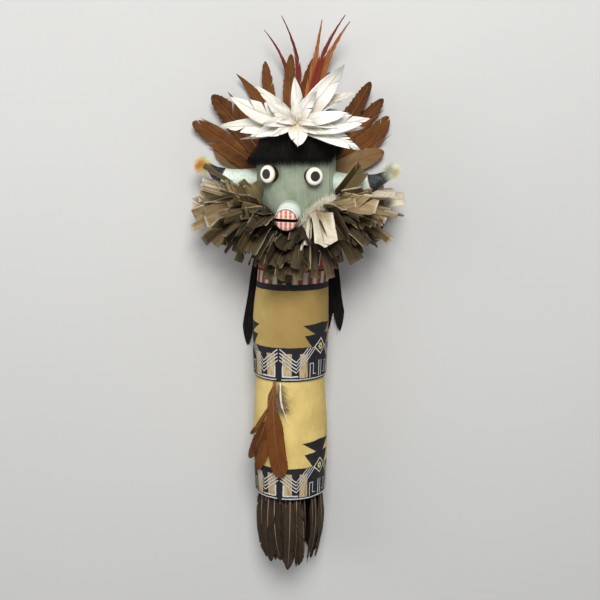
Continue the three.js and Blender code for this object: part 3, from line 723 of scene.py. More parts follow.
def ruffFinish():
    # dry folded feathers: dark brown in front, olive and tan at the left, pale with cream edges at the right
    paint = Paint("ruffFeather")
    along, across, tone = paint.parts("vane")
    root, reach, isQuill = paint.parts("barb")
    streak = paint.noise(1, 4, 0.7, at=paint.join(root * 1.9, reach * 0.12, tone * 37))
    # bands along each feather, partly their own colour and partly painted light and shade of folds
    bandsAndFoldShade = paint.noise(1, 2, at=paint.join(along * 0.8, across * 2.6, tone * 91))
    # each feather's tone, with that painted fold light and shade, darker towards the root
    toneAndFoldShade = tone + (bandsAndFoldShade - 0.5) * 0.8 + along.step(0.05, 0.8) * 0.26 - 0.2
    colour = paint.over(
        paint.ramp(toneAndFoldShade, [(0, (0.010, 0.0065, 0.004)), (0.22, (0.036, 0.023, 0.013)), (0.45, (0.125, 0.081, 0.034)),
                           (0.7, (0.34, 0.245, 0.125)), (0.95, (0.78, 0.71, 0.56))]),
        (streak.step(0.35, 0.75) * 0.38, (0.022, 0.015, 0.009)),
        (paint.number("mark") * 0.5, (0.135, 0.11, 0.045)),
        (abs(across).step(0.80, 0.97) * (0.3 + 0.7 * tone.step(0.04, 0.4)) * 0.85, (0.62, 0.50, 0.33)),
        (along.step(0.93, 1.0) * tone.step(0.15, 0.6) * 0.6, (0.60, 0.52, 0.39)),
        (isQuill * tone.step(0.02, 0.4) * 0.7, (0.30, 0.215, 0.12)))
    paint.bump((root * 13.0).sine() * (1 - isQuill) + streak, 0.4, 0.00025)
    return paint.finish(colour, 0.58 + streak * 0.2)


plumage = {
    "fan": featherFinish("rustFeather", (0.045, 0.014, 0.004), (0.165, 0.059, 0.014), (0.25, 0.105, 0.036),
                         edge=(0.22, 0.095, 0.028)),
    "olive": featherFinish("oliveFeather", (0.13, 0.075, 0.026), (0.25, 0.165, 0.07), (0.34, 0.16, 0.055),
                           tip=(0.18, 0.07, 0.025)),
    "hanging": featherFinish("russetFeather", (0.060, 0.016, 0.002), (0.145, 0.046, 0.007), (0.23, 0.10, 0.035),
                             base=(0.15, 0.06, 0.02)),
    "white": featherFinish("whiteFeather", (0.68, 0.64, 0.54), (0.88, 0.87, 0.82), (0.74, 0.68, 0.55),
                           base=(0.44, 0.345, 0.19), line=0.2),
    "greyed": featherFinish("greyedFeather", (0.52, 0.45, 0.36), (0.82, 0.79, 0.72), (0.62, 0.55, 0.43),
                            base=(0.42, 0.33, 0.19), edge=(0.84, 0.82, 0.76), line=0.2),
    "stained": featherFinish("stainedFeather", (0.62, 0.56, 0.46), (0.84, 0.81, 0.75), (0.62, 0.55, 0.43),
                             tip=(0.05, 0.035, 0.025), base=(0.42, 0.33, 0.19), edge=(0.88, 0.86, 0.82),
                             line=0.2),
    "skirt": featherFinish("darkFeather", (0.013, 0.008, 0.004), (0.050, 0.030, 0.016), (0.28, 0.21, 0.13),
                           edge=(0.17, 0.12, 0.07)),
    "orange": featherFinish("orangeFeather", (0.24, 0.07, 0.018), (0.42, 0.15, 0.045), (0.33, 0.10, 0.03)),
    "red": featherFinish("redFeather", (0.10, 0.014, 0.010), (0.21, 0.034, 0.022), (0.17, 0.026, 0.018)),
    "ruff": ruffFinish(),
}

# a vane's width along the feather
vaneShapes = {
    "rounded": lambda t: 1 if t < 0.7 else math.sqrt(max(0, 1 - ((t - 0.7) / 0.3) ** 2)),
    "pointed": lambda t: 1 if t < 0.45 else 1 - ((t - 0.45) / 0.55) ** 1.9,
    "slender": lambda t: 1 if t < 0.6 else 1 - 0.9 * (t - 0.6) / 0.4,
    "strip": lambda t: 1 if t < 0.62 else 1 - 0.93 * ((t - 0.62) / 0.38) ** 3.4,
    "paddle": lambda t: ((0.64 + 0.36 * smooth(0.28, 0.5, t))
                         * math.sqrt(max(0, 1 - (max(0, t - 0.85) / 0.15) ** 2))),
    "cut": lambda t: 1,
}

# what a feather has unless its own style says otherwise
plainStyle = {
    "samples": 32, "locks": 9, "rows": 3, "columns": 5, "thick": 0.22, "forward": 1.15, "bare": 0.1, "rootWidth": 0,
    "lift": 0.25, "parted": 0.05, "tipParted": 0.1, "gap": 0.02, "fray": 0.03, "ragged": 0.02, "fold": 0, "cup": 0,
    "curl": 0, "slant": 0, "pleat": 0, "ripple": 0, "floor": -100, "sink": 0.12,
    "quill": 0.55, "quillEnd": 0.96, "quillSides": 6, "quillRings": 14,
}


def growFeather(shape, spine, face, width, kind, style, seed, tone=None, slot=0, mark=0.0):
    # one feather: a tapering quill and, on each side, locks of barbs that part a little from one another
    style = {**plainStyle, **style}
    rng = random.Random(seed)
    tone = rng.random() if tone is None else tone
    half = width / 2
    samples, columns, bare, floor = style["samples"], style["columns"], style["bare"], style["floor"]
    line = [spine(i / samples) for i in range(samples + 1)]
    length = sum((b - a).length for a, b in zip(line, line[1:]))
    frames = []
    for i in range(samples + 1):
        along = (line[min(samples, i + 1)] - line[max(0, i - 1)]).normalized()
        side = along.cross(face(i / samples)).normalized()
        frames.append((line[i], side, side.cross(along).normalized()))

    def at(t):
        t = min(1, max(0, t)) * samples
        i = min(samples - 1, int(t))
        return [a.lerp(b, t - i) for a, b in zip(frames[i], frames[i + 1])]

    def floored(p):
        # what would sink below the floor is pressed flat on it
        if p.z < floor:
            p.z = floor - style["sink"] * (floor - p.z)
        return p

    forward = style["forward"] * half / length
    curl = style["curl"] * rng.uniform(-1, 1)
    pleatPhase = rng.uniform(0, 6.28)
    ripple, rippleStep = style["ripple"] * rng.uniform(0.4, 1), rng.uniform(6, 13)

    def vane(b, a, sign, factor, lift):
        if kind == "cut":
            end = 1 + sign * style["slant"] - b
            a = a * min(1, max(0.02, end / forward))
            t = b + forward * a
        else:
            left = max(1e-4, 1 - b)
            t = b + left * (1 - math.exp(-forward * a / left))
        rooted = mix(style["rootWidth"], 1, smooth(bare * 0.5, bare + 0.22, t))
        reach = a * half * vaneShapes[kind](t) * rooted * factor
        p, side, up = at(t)
        share = reach / half
        high = style["cup"] * share ** 2 + style["fold"] * share * half + lift * a * a + curl * sign * share ** 2 * t
        high += (style["pleat"] * t * math.sin(pleatPhase + share * sign * 4.4)
                 + ripple * a * math.sin(rippleStep * t + 2 * sign))
        return floored(p + side * (sign * reach) + up * high), up, t, share * sign

    for sign in (-1, 1):
        # runs of barbs: a new run starts only where the vane has split
        steps = style["rows"] * style["locks"]
        wave = rng.uniform(0, 9)
        runs, run = [], [bare * 0.8]
        for i in range(1, steps + 1):
            b = mix(bare * 0.8, 0.995, i / steps)
            run.append(b)
            parted = style["parted"] + style["tipParted"] * smooth(0.55, 1, b)
            if i < steps - 1 and len(run) > 2 and rng.random() < parted:
                runs.append(run)
                run = [b]
        runs.append(run)
        turnedOver = sign > 0
        for number, run in enumerate(runs):
            gap = rng.uniform(0.1, 0.9) * style["gap"]
            low, high = run[0], run[-1]
            lift = style["lift"] * rng.uniform(-1, 1)
            factor = 1 - style["fray"] * rng.random() * (1 + 2 * smooth(0.6, 1, high))
            front, back = [], []
            for b0 in run:
                f = (b0 - low) / max(1e-6, high - low)
                ragged = 1 - style["ragged"] * rng.random() * (1 + 2 * smooth(0.6, 1, b0))
                swell = lift + style["lift"] * 0.6 * math.sin(wave + b0 * 23)
                frontRow, backRow = [], []
                for j in range(columns + 1):
                    a = j / columns
                    squeeze = gap * a * a * ((1 - f) * (number > 0) - f * (number < len(runs) - 1))
                    b = min(0.995, max(0, b0 + squeeze))
                    p, up, t, share = vane(b, a, sign, factor * (ragged if j == columns else 1), swell)
                    deep = style["thick"] / 2 * (1 - 0.5 * a)
                    values = {"vane": (t, share, tone), "barb": (b0 * length, share * half, 0),
                              "mark": (mark, mark, mark)}
                    frontRow.append(shape.add(p + up * deep, **values))
                    backRow.append(shape.add(p - up * deep, **values))
                front.append(frontRow)
                back.append(backRow)
            rows = len(run) - 1
            quads = []
            for i in range(rows):
                for j in range(columns):
                    quads.append((front[i][j], front[i][j + 1], front[i + 1][j + 1], front[i + 1][j]))
                    quads.append((back[i][j], back[i + 1][j], back[i + 1][j + 1], back[i][j + 1]))
            ring = [(i, 0) for i in range(rows)] + [(rows, j) for j in range(columns)]
            ring += [(i, columns) for i in range(rows, 0, -1)] + [(0, j) for j in range(columns, 0, -1)]
            for (i, j), (k, m) in zip(ring, ring[1:] + ring[:1]):
                quads.append((front[i][j], front[k][m], back[k][m], back[i][j]))
            for quad in quads:
                shape.face(*(quad if turnedOver else quad[::-1]), slot=slot)

    # the quill
    tube = []
    for i in range(style["quillRings"] + 1):
        t = style["quillEnd"] * i / style["quillRings"]
        p, side, up = at(t)
        p = floored(p)
        r = style["quill"] * (1 - 0.8 * t)
        tube.append([shape.add(p + side * r * math.cos(angle) + up * (r * 0.8 * math.sin(angle) + 0.1),
                               vane=(t, 0, tone), barb=(t * length, 0, 1), mark=(0, 0, 0))
                     for angle in circle(style["quillSides"])])
    for a, b in zip(tube, tube[1:]):
        for j in range(len(a)):
            k = (j + 1) % len(a)
            shape.face(a[j], b[j], b[k], a[k], slot=slot)
    shape.face(*tube[0], slot=slot)
    shape.face(*tube[-1][::-1], slot=slot)


# the fan behind the head and its dyed spikes, on one shared curved surface
fan = {
    "middle": (2, chin + 0.41 * layout["head"]), "root": 17, "base": 3.1, "pitch": 1.5, "lift": 11,
    "flat": 66.27, "reach": 118,
    # angle from the right, length from the middle, width, sideways bend, outline
    "feathers": [
        (153, 74, 20, -2, "rounded"), (146, 100, 20, -2, "rounded"), (130.5, 102, 20, -2, "rounded"),
        (116, 106, 14, -12, "pointed"), (102, 107, 11, 4, "rounded"), (90.5, 110, 12, 3, "rounded"),
        (80, 110, 15, 2, "rounded"), (72, 101, 12, 4, "rounded"), (54, 109, 14, -5, "rounded"),
        (45, 106, 15, -4, "rounded"), (37.5, 100, 20, -12, "rounded"), (22.5, 83, 19, 2, "rounded")],
    "olive": (0, 11), "frayed": (8, 9, 10, 11), "fuller": 1.06, "spikeFuller": 1.25,
    # narrow broken ends beside the tips: angle from the feather's own, length, width, bend
    "wisps": {1: [(-4, 97, 7, -4)], 2: [(-7, 97, 9, -3)], 9: [(-4, 101, 6, 2)],
              10: [(-4, 99, 4, -8), (-8, 96, 3.4, -6)]},
    "style": {"quill": 0.7, "locks": 22, "lift": 0.22, "parted": 0.005, "fray": 0.06, "ragged": 0.13,
              "bare": 0.12, "thick": 0.24, "rows": 4, "columns": 6, "fold": 0.05, "ripple": 0.8,
              "tipParted": 0.02},
    # angle, length, width, bend, layer, colour
    "spikes": [(100, 130, 4.6, -22, 1.5, "red"), (93.5, 138, 4.6, -19, 4, "red"), (80, 137, 6.4, 0, 3, "orange"),
               (73, 144, 5.6, 15, 4, "red"), (71, 141, 7.4, 14, 2, "orange")],
    "spikeStyle": {"quill": 0.6, "locks": 20, "lift": 0.10, "parted": 0.06, "ragged": 0.14, "fray": 0.05,
                   "thick": 0.4, "columns": 3, "fold": 0.1, "forward": 2.6, "rootWidth": 0.4},
}


def fanSpine(angle, length, bend, layer):
    out = Vector((math.cos(angle * degrees), math.sin(angle * degrees), 0))
    across = Vector((-out.y, out.x, 0))
    middle = Vector((*fan["middle"], 0))

    def spine(t):
        off = out * mix(fan["root"], length, t) + across * (bend * math.sin(math.pi * t) * t)
        p = middle + off
        rise = max(0, (off.length - fan["flat"]) / (fan["reach"] - fan["flat"]))
        p.z = fan["base"] + layer * fan["pitch"] + fan["lift"] * rise ** 2
        return p
    return spine


def makeFan():
    forward = Vector((0, 0, 1))
    for i, (angle, length, width, bend, kind) in enumerate(fan["feathers"]):
        shape = Shape()
        style = dict(fan["style"], ragged=0.2, tipParted=0.025) if i in fan["frayed"] else fan["style"]
        growFeather(shape, fanSpine(angle, length, bend, i % 3), lambda t: forward, width * fan["fuller"], kind,
                    style, 100 + i)
        for turn, reach, wide, away in fan["wisps"].get(i, ()):
            growFeather(shape, fanSpine(angle + turn, reach, away, i % 3 + 0.25), lambda t: forward, wide,
                        "pointed", dict(style, rootWidth=0.2), 170 + i)
        finish = plumage["olive" if i in fan["olive"] else "fan"]
        name = "%02d" % (i + 1)
        settle(shape.build("rust_feather_" + name, finish), "rust_feather", "fan_feather_" + name)
    for i, (angle, length, width, bend, layer, colour) in enumerate(fan["spikes"]):
        shape = Shape()
        growFeather(shape, fanSpine(angle, length, bend, layer), lambda t: forward, width * fan["spikeFuller"],
                    "slender", fan["spikeStyle"], 140 + i)
        settle(shape.build("dyed_spike_%d" % (i + 1), plumage[colour]), "dyed_%s_feather" % colour,
               "crest_spike_%d" % (i + 1))


makeFan()

# the white rosette on the brow
rosette = {
    "middle": (5.9, crown - 8, 70.9), "root": 0.6, "short": 30,
    # angle from the right, length, width, tilt forward
    "feathers": [
        (159, 54, 16, 14), (138, 42, 10, 3), (182, 60, 13, 5), (195, 46, 5, -5), (197, 38, 12, 21),
        (184, 32, 9, 36), (93, 35, 11, 22), (50, 56, 17, 13), (27, 51, 10, 1), (3, 56, 16, 15), (-4, 52, 11, 1),
        (-23, 53, 14, 9), (-8, 21, 6, 42), (-89, 26, 16, 50)],
    "greyed": (3, 8, 10), "stained": 7,
    "style": {"quill": 0.4, "locks": 13, "lift": 0.2, "parted": 0.035, "fray": 0.10, "ragged": 0.03, "bare": 0.0,
              "thick": 0.2, "columns": 6, "rootWidth": 0.4, "ripple": 1.1, "pleat": 0.7, "gap": 0.04},
}


def makeRosette():
    rng = random.Random(31)
    middle = Vector(rosette["middle"])
    for i, (angle, length, width, tilt) in enumerate(rosette["feathers"]):
        shape = Shape()
        small = length < rosette["short"]
        # the feather itself, and a smaller one that lies on it near the knot
        layers = [(angle, length, width, tilt, 0)]
        if not small:
            layers.append((angle + rng.uniform(-15, 15), length * rng.uniform(0.5, 0.8),
                           width * rng.uniform(0.55, 0.85), tilt + rng.uniform(5, 15), 0.8))
        for n, (turn, long, wide, lean, above) in enumerate(layers):
            flat = Vector((math.cos(turn * degrees), math.sin(turn * degrees), 0))
            out = flat * math.cos(lean * degrees) + Vector((0, 0, math.sin(lean * degrees)))
            face = Vector((0, 0, math.cos(lean * degrees))) - flat * math.sin(lean * degrees)
            across = out.cross(face)
            sway = rng.uniform(-0.07, 0.07) * long
            droop = (0.06 if n == 0 else rng.uniform(0.02, 0.12)) * long

            def spine(t):
                reach = mix(rosette["root"] * (0.4 if small else 1), long, t)
                return (middle + out * reach - face * (droop * t * t) + across * (sway * math.sin(math.pi * t))
                        + Vector((0, 0, above)))
            style = dict(rosette["style"], cup=rng.uniform(0.06, 0.2) * wide, curl=0.16 * wide)
            growFeather(shape, spine, lambda t: face, wide, "pointed", style, 200 + 3 * i + n,
                        tone=0.95 if i == rosette["stained"] else None)
        finish = plumage["stained" if i == rosette["stained"] else "greyed" if i in rosette["greyed"] else "white"]
        name = "%02d" % (i + 1)
        settle(shape.build("white_feather_" + name, finish), "white_feather", "rosette_feather_" + name)


makeRosette()

# the ruff of folded feathers round the neck
ruff = {
    "radius": 34.2, "low": chin + 10.5, "rise": 24, "level": 10, "climb": 16, "limit": 126, "width": 16,
    "openness": 0.9, "cord": 1.6, "cordSteps": 90, "cordSides": 10,
    # the front feathers lie within this turn, point below this tilt, and are dark
    "frontTurn": 62, "frontTilt": -20, "frontTone": 0.24, "frontShort": 0.93, "cordLay": 0.12,
    # those that point up more than this stand straight
    "upright": 30,
    # a white feather is tied in front of its neighbours
    "whiteFrom": 0.95, "whiteAhead": (0, 1.5, 4.5),
    # where it is tied and the way it points, degrees round from the front; its tilt, length, roll and tone
    "feathers": [
        (-66, -50, 41, 25, -30, .42), (-54, -40, 55, 20, -18, .45), (-72, -62, 16, 34, 24, .5),
        (-84, -82, 17, 45, -8, .62), (-90, -83, 3, 45, 20, .66), (-76, -68, -11, 43, -24, .48),
        (-96, -89, -6, 51, 10, .6), (-86, -83, -17, 55, -20, .5), (-58, -50, -24, 47, 30, .3),
        (-70, -71, -39, 53, -16, .3), (-88, -92, -57, 49, 12, .18), (-64, -59, -64, 49, -22, .15),
        (-34, -24, -9, 38, 32, .3), (-40, -34, -41, 47, -26, .22), (-24, -31, -53, 51, 18, .2),
        (-12, -26, -32, 44, -30, .24), (-4, -15, -49, 47, 14, .26), (6, -12, -35, 45, -22, .2),
        (12, -4, -58, 55, 20, .3), (28, 12, -36, 43, -10, .96), (18, -2, -73, 53, 8, .3),
        (24, 36, -56, 60, -20, .4), (38, 30, -36, 47, 26, .5), (46, 58, -55, 55, 16, .3),
        (54, 60, -38, 54, -18, .4), (50, 48, -5, 43, 28, .6), (70, 74, -25, 54, -24, .5),
        (64, 60, -13, 47, 18, .5), (80, 80, -4, 54, -12, .7), (88, 82, 11, 53, 22, .85),
        (92, 88, 27, 51, -20, .9), (66, 56, 16, 36, -28, .4), (60, 63, 49, 37, 24, .36),
        (-104, -92, 14, 46, -16, .55), (-110, -94, -22, 49, 14, .5), (-118, -95, -1, 44, -10, .5),
        (104, 92, 6, 50, 18, .7), (110, 94, -20, 49, -12, .5), (118, 95, 14, 44, 10, .6),
        (96, 90, -51, 47, -14, .35), (-14, 4, -70, 42, -12, .2), (42, 44, -74, 51, 12, .25)],
    # short ones that cover the mask's edge, the curled pale one beside the snout, and low ones at the lower left and
    # right: dark feathers darkened further to near black as painted shade
    "fillers": [
        (-27, -58, 12, 24, 24, .22, 14), (-33, -66, 2, 26, -22, .3, 12), (-21, -50, -12, 24, 20, .12, 12),
        (-42, -60, 20, 24, -16, .36, 14), (-15, -30, -30, 22, -24, .1, 12), (-50, -64, 8, 28, 22, .3, 14),
        (2, 0, -50, 22, 10, .08, 12), (16, -14, -50, 30, 4, 1.0, 8.5), (34, 44, 2, 24, -24, .75, 12),
        (44, 56, 14, 26, 20, .6, 13), (52, 62, 4, 30, -18, .7, 13), (-60, -70, -50, 40, 20, .06, 14),
        (-78, -80, -48, 42, -20, .08, 14), (60, 66, -52, 42, 18, .08, 14), (78, 80, -44, 42, -16, .12, 14),
        (-70, -82, 42, 50, 80, .05, 4.2), (-32, -46, -52, 44, 12, .14, 15), (-30, -42, -60, 42, -14, .2, 14)],
    "style": {"quill": 0.5, "locks": 10, "parted": 0.07, "fray": 0.10, "ragged": 0.03, "bare": 0.08, "rows": 2,
              "columns": 6, "cup": 1.0, "curl": 4.2, "floor": 10.4, "rootWidth": 0.5, "pleat": 0.75,
              "ripple": 0.8, "tipParted": 0.055, "gap": 0.04},
}


def ruffPoint(turn):
    beside = max(0, abs(turn - layout["headYaw"]) - ruff["level"])
    rise = ruff["rise"] * (1 - math.exp(-beside / ruff["climb"]))
    rad = turn * degrees
    return Vector((layout["headLean"] + ruff["radius"] * math.sin(rad), ruff["low"] + rise,
                   headAxis + ruff["radius"] * math.cos(rad)))


def ruffRows(rng):
    # every feather's turn, aim, tilt, length, roll, tone and width
    rows = []
    for turn, aim, tilt, length, roll, tone in ruff["feathers"]:
        front = abs(turn) < ruff["frontTurn"] and tilt < ruff["frontTilt"]
        if front and tone < ruff["whiteFrom"]:
            tone = min(tone, ruff["frontTone"])
        rows.append((turn, aim, tilt, length * (ruff["frontShort"] if front else 1), roll,
                     tone + (0.05 if turn < -40 else 0),
                     ruff["width"] * (1.2 if -45 < tilt < 15 else 1 if tilt > ruff["upright"] else 0.95)))
        if tone >= ruff["whiteFrom"]:
            continue
        if tilt < ruff["upright"]:
            # a second, slimmer feather is tied beside it, and in front a third
            lower = rng.uniform(0, 12) if front else rng.uniform(-9, 5)
            rows.append((turn + rng.uniform(-9, 9), aim + rng.uniform(-9, 9), tilt + lower,
                         length * rng.uniform(0.7, 0.9), -roll * rng.uniform(0.5, 1.5),
                         min(1, max(0.08, tone + rng.uniform(-0.16, 0.12))), ruff["width"] * rng.uniform(0.55, 0.9)))
        if front:
            rows.append((turn + rng.uniform(-8, 8), aim + rng.uniform(-14, 14), tilt + rng.uniform(-2, 16),
                         length * rng.uniform(0.5, 0.75), rng.uniform(-40, 40), rng.uniform(0.02, 0.18),
                         ruff["width"] * 0.8))
    return rows + ruff["fillers"]


def tieCord(shape):
    tube = []
    for i in range(ruff["cordSteps"] + 1):
        turn = mix(-ruff["limit"], ruff["limit"], i / ruff["cordSteps"])
        at = ruffPoint(turn)
        out = Vector((math.sin(turn * degrees), 0, math.cos(turn * degrees)))
        row = []
        for j, angle in enumerate(circle(ruff["cordSides"])):
            r = ruff["cord"] + ruff["cordLay"] * math.sin(angle * 3 + i * 1.3)
            row.append(shape.add(at + out * r * math.cos(angle) + Vector((0, -1, 0)) * r * math.sin(angle),
                                 vane=(0, 0, 0.2), barb=(i, j, 0), mark=(0, 0, 0)))
        tube.append(row)
    shape.grid(tube, closed=True)
    shape.face(*tube[0][::-1])
    shape.face(*tube[-1])


def makeRuff():
    rng = random.Random(7)
    rows = ruffRows(rng)
    shape = Shape()
    for i, (turn, aim, tilt, length, roll, tone, width) in enumerate(rows):
        root = ruffPoint(turn)
        if tone > ruff["whiteFrom"]:
            root = root + Vector(ruff["whiteAhead"])
        level, rise = math.cos(tilt * degrees), math.sin(tilt * degrees)
        out = Vector((level * math.sin(aim * degrees), rise, level * math.cos(aim * degrees)))
        upright = Vector((0, 1, 0))
        upright.z = ruff["openness"] * abs(math.sin(aim * degrees)) * (1 if tilt < ruff["upright"] else 3)
        face = (upright - out * upright.dot(out)).normalized()
        face.rotate(Matrix.Rotation(roll * degrees, 3, out))
        twist = rng.uniform(-24, 24) if tilt < ruff["upright"] else 0
        bend = rng.uniform(-0.15, 0.03) * length

        def spine(t):
            return root + out * (length * t) + face * (bend * t * t)

        def facing(t):
            turnedFace = face.copy()
            turnedFace.rotate(Matrix.Rotation(twist * t * degrees, 3, out))
            return turnedFace
        style = dict(ruff["style"], fold=rng.choice((-1, 1)) * rng.uniform(0.35, 1.0),
                     slant=rng.uniform(-0.15, 0.15))
        olive = 1.0 if tilt > ruff["upright"] else 0.35 * rng.random()
        growFeather(shape, spine, facing, width, "cut", style, 300 + i, tone=tone, mark=olive)
    tieCord(shape)
    print("ruff feathers", len(rows))
    return shape.build("feather_ruff", plumage["ruff"])


ruffFeathers = makeRuff()

# the skirt and the two hanging feathers
skirt = {
    "count": 8, "rings": 2, "inset": 3.4, "ringGap": 3.6, "length": 65, "hem": 28.9,
    # of the two feathers of a piece: width, how far on round, further in, and shorter
    "pair": [(14.25, 0, 0, 1), (12.75, 0.28, 1.2, 0.95)],
    "style": {"quill": 0.45, "locks": 18, "lift": 0.2, "parted": 0.04, "fray": 0.10, "ragged": 0.04, "bare": 0.0,
              "thick": 0.2, "rows": 2, "columns": 4, "rootWidth": 0.8, "ripple": 0.6, "pleat": 0.4,
              "tipParted": 0.12, "gap": 0.03},
}
hanging = {
    # root x, tip x, length, width, bend, layer; the second piece's vane has split in two
    "feathers": [[(-13.2, -6.5, 80, 17, -2.6, 1)],
                 [(-12, -34, 69, 12, 3.2, 0), (-11.5, -28.5, 77, 11, 4.2, 0), (-12, -33, 48, 5, 3.4, 0)]],
    "own": [{"bare": 0.03, "rootWidth": 0.75, "cup": -1.2}, {"bare": 0.56, "rootWidth": 0, "cup": -0.6}],
    "style": {"locks": 20, "lift": 0.16, "parted": 0.004, "fray": 0.05, "ragged": 0.05, "columns": 6,
              "ripple": 0.6, "tipParted": 0.02},
    # the body's radius at the hem and lower down, and how far off it the feathers lie
    "waist": 28.6, "belly": 31.5, "off": 0.6, "layerAtWaist": 1.6, "layerAtBelly": 1.5,
}


def makeSkirt():
    rng = random.Random(21)
    for ring in range(skirt["rings"]):
        for i in range(skirt["count"]):
            shape = Shape()
            for extra, (width, further, inwards, shorter) in enumerate(skirt["pair"]):
                turn = 2 * math.pi * (i + 0.5 * ring + further) / skirt["count"]
                radius = skirt["hem"] - skirt["inset"] - ring * skirt["ringGap"] - inwards
                out = Vector((math.sin(turn), 0, math.cos(turn)))
                length = skirt["length"] * (0.965 + 0.035 * math.cos(3.1 * i + ring)) * shorter
                sway = rng.uniform(-3.5, 3.5)
                aside = Vector((out.z, 0, -out.x))

                def spine(t):
                    reach = radius * (1 + 0.06 * math.sin(math.pi * t) - 0.15 * t ** 3)
                    return (Vector((0, -layout["fitGap"] - length * t, layout["bodyAxis"])) + out * reach
                            + aside * (sway * t * t))
                style = dict(skirt["style"], cup=-width ** 2 / (8 * radius) * (0.4 + 0.5 * extra),
                             fold=rng.uniform(-0.22, 0.16))
                facing = out.copy()
                facing.rotate(Matrix.Rotation(rng.uniform(8, 42) * degrees * rng.choice((1, 1, -1)), 3, "Y"))
                growFeather(shape, spine, lambda t: facing, width, "strip", style, 500 + 40 * ring + 3 * i + extra)
            name = "%02d" % (ring * skirt["count"] + i + 1)
            settle(shape.build("dark_feather_" + name, plumage["skirt"]), "dark_feather", "skirt_feather_" + name)


def hangingSpine(rootX, tipX, bend, layer, length, above=0.0):
    top = layout["lowerTier"] - layout["fitGap"]

    def spine(t):
        x = mix(rootX, tipX, t) + bend * math.sin(math.pi * t)
        start = hanging["waist"] + layout["fitGap"] + hanging["off"] + layer * hanging["layerAtWaist"]
        end = hanging["belly"] + layout["fitGap"] + hanging["off"] + layer * hanging["layerAtBelly"]
        reach = mix(start, end, smooth(0, 0.35, t)) + above
        away = 0 if layer else 0.4 + 0.5 * max(0, abs(x) - 17)
        drop = math.sqrt(max(0, reach ** 2 - min(abs(x), reach - 1) ** 2))
        return Vector((x, top - length * t, layout["bodyAxis"] + drop + away))
    return spine


def makeHanging():
    made = []
    for i, feathers in enumerate(hanging["feathers"]):
        shape = Shape()
        finishes = [plumage["hanging"]]
        for n, (rootX, tipX, length, width, bend, layer) in enumerate(feathers):
            spine = hangingSpine(rootX, tipX, bend, layer, length, 0.5 * n)

            def facing(t):
                p = spine(t)
                return Vector((0.6 * p.x, 0, p.z - layout["bodyAxis"])).normalized()
            growFeather(shape, spine, facing, width, "paddle", {**hanging["style"], **hanging["own"][i]},
                        600 + 5 * i + n)
        if i == 0:
            # the pale curled quill that lies over it
            finishes.append(plumage["white"])
            growFeather(shape, hangingSpine(-7.4, -0.5, -2.6, 1, 34, 1.6), lambda t: Vector((0, 0, 1)), 1.7,
                        "slender", dict(hanging["style"], quill=0.6, rootWidth=0.6), 640, slot=1)
        made.append(shape.build("russet_feather_%d" % (i + 1), *finishes))
    settle(made[1], "rust_feather", "hanging_feather_2")
    return made[0]


makeSkirt()
mainHanging = makeHanging()
print("feathers grown")


# hair and down, grown with geometry nodes from a hidden ground
strand = {"resolution": 4, "sides": 3, "middle": (0, 0, 0.6), "tip": 0.12, "shortest": 0.62}


def strandTree():
    tree = bpy.data.node_groups.new("growStrands", "GeometryNodeTree")
    for name, kind in (("Geometry", "Geometry"), ("Count per area", "Float"), ("Length", "Float"),
                       ("Thickness", "Float"), ("Droop", "Float"), ("Spread", "Float"), ("Seed", "Int"),
                       ("Finish", "Material")):
        tree.interface.new_socket(name, in_out="INPUT", socket_type="NodeSocket" + kind)
    tree.interface.new_socket("Geometry", in_out="OUTPUT", socket_type="NodeSocketGeometry")

    def node(kind, settings=None, inputs=None):
        return addNode(tree, kind, settings, inputs).outputs

    given = node("NodeGroupInput")
    points = node("GeometryNodeDistributePointsOnFaces", {}, {
        "Mesh": given["Geometry"], "Density": given["Count per area"], "Seed": given["Seed"]})
    growth = node("GeometryNodeInputNamedAttribute", {"data_type": "FLOAT_VECTOR"}, {"Name": "growth"})
    scatter = node("FunctionNodeRandomValue", {"data_type": "FLOAT_VECTOR"},
                   {"Min": (-1, -1, -1), "Seed": given["Seed"]})
    spread = node("ShaderNodeVectorMath", {"operation": "SCALE"}, {0: scatter["Value"], "Scale": given["Spread"]})
    aim = node("ShaderNodeVectorMath", {"operation": "ADD"}, {0: growth["Attribute"], 1: spread[0]})
    turn = node("FunctionNodeAlignRotationToVector", {"axis": "Z"}, {"Vector": aim[0]})
    end = node("ShaderNodeCombineXYZ", {}, {0: given["Droop"], 1: 0.0, 2: 1.0})
    curve = node("GeometryNodeCurveQuadraticBezier", {}, {
        "Resolution": strand["resolution"], "Start": (0, 0, 0), "Middle": strand["middle"], "End": end[0]})
    along = node("GeometryNodeSplineParameter")
    taper = node("ShaderNodeMapRange", {}, {"Value": along["Factor"], "To Min": 1, "To Max": strand["tip"]})
    ring = node("GeometryNodeCurvePrimitiveCircle", {}, {
        "Resolution": strand["sides"], "Radius": given["Thickness"]})
    tube = node("GeometryNodeCurveToMesh", {}, {
        "Curve": curve["Curve"], "Profile Curve": ring["Curve"], "Scale": taper["Result"], "Fill Caps": True})
    sizes = addNode(tree, "FunctionNodeRandomValue", {"data_type": "FLOAT"})
    least, most = [s for s in sizes.inputs if s.enabled and s.type == "VALUE"][:2]
    least.default_value, most.default_value = strand["shortest"], 1.0
    size = node("ShaderNodeMath", {"operation": "MULTIPLY"}, {
        0: [o for o in sizes.outputs if o.enabled][0], 1: given["Length"]})
    grown = node("GeometryNodeInstanceOnPoints", {}, {
        "Points": points["Points"], "Instance": tube["Mesh"], "Rotation": turn["Rotation"], "Scale": size[0]})
    real = node("GeometryNodeRealizeInstances", {}, {"Geometry": grown["Instances"]})
    painted = node("GeometryNodeSetMaterial", {}, {"Geometry": real["Geometry"], "Material": given["Finish"]})
    node("NodeGroupOutput", {}, {"Geometry": painted["Geometry"]})
    return tree


growStrands = strandTree()


